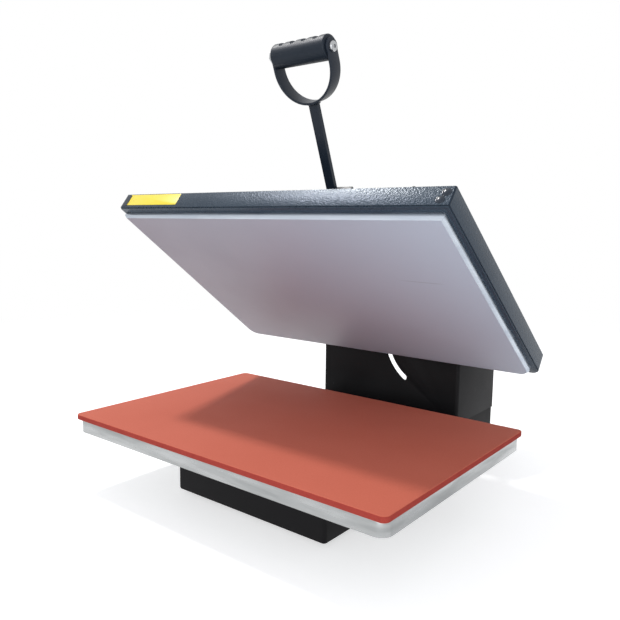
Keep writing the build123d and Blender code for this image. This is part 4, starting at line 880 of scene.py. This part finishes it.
# On the cover: a plain yellow film stuck on the left of the front, left blank, and one small
# black screw at the top edge, with a rounded head and a tapered recess for the driver.
film_left, film_right = -296.0 * MM, -168.0 * MM
film_low, film_high = 4.6 * MM, 26.2 * MM
film_thick = 0.3 * MM
film_corner = 1.4 * MM
film_edge = 0.12 * MM
film_yellow = (0.90, 0.72, 0.035, 1)
film_deep = (0.84, 0.64, 0.02, 1)
film_rubbed = (0.80, 0.66, 0.18, 1)
screw_place = Vector((251.0, -197.2, 484.3)) * MM
screw_radius = 3.2 * MM
screw_height = 2.3 * MM
screw_round = 1.3 * MM
screw_back = 3.6 * MM
recess_inset = 0.52 * screw_radius
recess_taper = 0.45
recess_depth = 1.1 * MM

film = new_block("yellow_film", ((film_left + film_right) / 2, (film_low + film_high) / 2, film_thick / 2),
                 (film_right - film_left, film_high - film_low, film_thick))
choose(film, "EDGE", lambda edge: runs_along(edge, Z))
bpy.ops.mesh.bevel(offset=film_corner, segments=4, affect="EDGES")
choose(film, "EDGE", lambda edge: not runs_along(edge, Z)
       and max(corner.co.z for corner in edge.verts) > film_thick / 2)
bpy.ops.mesh.bevel(offset=film_edge, segments=2, affect="EDGES")
bpy.ops.object.mode_set(mode="OBJECT")
bpy.ops.object.shade_smooth_by_angle(angle=math.radians(40))
lay_on_front(film)
film.data.materials.append(finish_material(
    "yellow_film", film_yellow, film_deep, roughness=0.32, tone_scale=30.0, mottle=0.3, grain=500.0,
    swell=90.0, swell_share=0.7, height=0.4, rubbed=film_rubbed, rub_scale=90.0))
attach(film, body_of["platen_cover"])

bpy.ops.object.select_all(action="DESELECT")
bpy.ops.mesh.primitive_cylinder_add(vertices=28, radius=screw_radius, depth=screw_height,
                                    location=(0, 0, screw_height / 2))
screw = bpy.context.object
screw.name = "cover_screw"
bpy.ops.object.transform_apply(location=True, rotation=True, scale=True)
bpy.ops.object.mode_set(mode="EDIT")
choose(screw, "FACE", lambda face: face.normal.z > 0.9)
bpy.ops.mesh.inset(thickness=recess_inset)
bpy.ops.mesh.extrude_region_move(TRANSFORM_OT_translate={"value": (0, 0, -recess_depth)})
bpy.ops.transform.resize(value=(recess_taper, recess_taper, 1))
choose(screw, "EDGE", lambda edge: min(corner.co.z for corner in edge.verts) > screw_height - 0.01 * MM
       and min(corner.co.length for corner in edge.verts) > 0.9 * screw_radius)
bpy.ops.mesh.bevel(offset=screw_round, segments=4, affect="EDGES")
bpy.ops.object.mode_set(mode="OBJECT")
bpy.ops.object.shade_smooth_by_angle(angle=math.radians(40))
screw.rotation_euler = (-open_tilt, 0, 0)
screw.location = screw_place - front_normal * screw_back
bpy.ops.object.transform_apply(location=True, rotation=True, scale=True)
screw.data.materials.append(black_plastic)
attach(screw, body_of["platen_cover"])


# The control box: a folded steel shell on the cover, in the cover's paint, with a textured film
# panel, a smoked window, three buttons, a rocker switch, a mains inlet and a fuse holder.
panel_film = finish_material("panel_film", (0.050, 0.055, 0.065, 1), (0.062, 0.067, 0.078, 1),
                             roughness=0.5, tone_scale=25.0, mottle=0.6, grain=1600.0, height=0.8)
smoked = finish_material("smoked_window", (0.010, 0.009, 0.011, 1), (0.018, 0.011, 0.012, 1),
                         roughness=0.08, tone_scale=20.0, rough_spread=0.03, height=0.05)
button_plastic = finish_material("button_plastic", (0.56, 0.56, 0.53, 1), (0.50, 0.50, 0.47, 1),
                                 roughness=0.38, tone_scale=80.0, rubbed=(0.42, 0.41, 0.38, 1),
                                 rub_scale=300.0)
mark_ink = finish_material("mark_ink", (0.03, 0.03, 0.035, 1), (0.05, 0.05, 0.055, 1), roughness=0.5,
                           tone_scale=80.0)
laminate = finish_material("board_laminate", (0.010, 0.070, 0.030, 1), (0.016, 0.095, 0.042, 1),
                           roughness=0.35, tone_scale=60.0, grain=400.0)
switch_red = finish_material("switch_red", (0.42, 0.012, 0.010, 1), (0.34, 0.009, 0.008, 1),
                             roughness=0.22, tone_scale=60.0)
finished_copy("control_box_shell", hammer, edge=0.6 * MM)
finished_copy("control_panel", panel_film, edge=0.3 * MM)
finished_copy("display_window", smoked, edge=0.3 * MM)
finished_copy("circuit_board", laminate, edge=0.1 * MM)
finished_copy("rocker_key", switch_red, edge=0.3 * MM, segments=3)
for name in ("relay", "rocker_switch_body", "mains_inlet", "fuse_holder"):
    finished_copy(name, black_plastic, edge=0.3 * MM)

mark_radius = 2.3 * MM
mark_thick = 0.25 * MM
mark_edge = 0.08 * MM


def button_with_mark(node, sides, turn):
    """A button and the small printed sign on it: a triangle up or down, or a dot."""
    finished_copy(node, button_plastic, edge=0.6 * MM, segments=3)
    low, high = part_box(node)
    middle = (low + high) / 2
    reach = max(corner.co.dot(front_normal) for corner in nodes[node].data.vertices)
    outer = middle + front_normal * (reach - middle.dot(front_normal))
    bpy.ops.object.select_all(action="DESELECT")
    bpy.ops.mesh.primitive_cylinder_add(vertices=sides, radius=mark_radius, depth=mark_thick,
                                        location=(0, 0, 0), rotation=(0, 0, turn))
    mark = bpy.context.object
    mark.name = node + "_mark"
    bpy.ops.object.transform_apply(location=True, rotation=True, scale=True)
    bpy.ops.object.mode_set(mode="EDIT")
    choose(mark, "EDGE", lambda edge: max(corner.co.z for corner in edge.verts) > 0)
    bpy.ops.mesh.bevel(offset=mark_edge, segments=2, affect="EDGES")
    bpy.ops.object.mode_set(mode="OBJECT")
    mark.rotation_euler = (face_tilt, 0, 0)
    mark.location = outer
    bpy.ops.object.transform_apply(location=True, rotation=True, scale=True)
    mark.data.materials.append(mark_ink)
    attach(mark, body_of[node])


button_with_mark("button_down", 3, math.pi)
button_with_mark("button_set", 24, 0)
button_with_mark("button_up", 3, 0)

low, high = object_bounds()
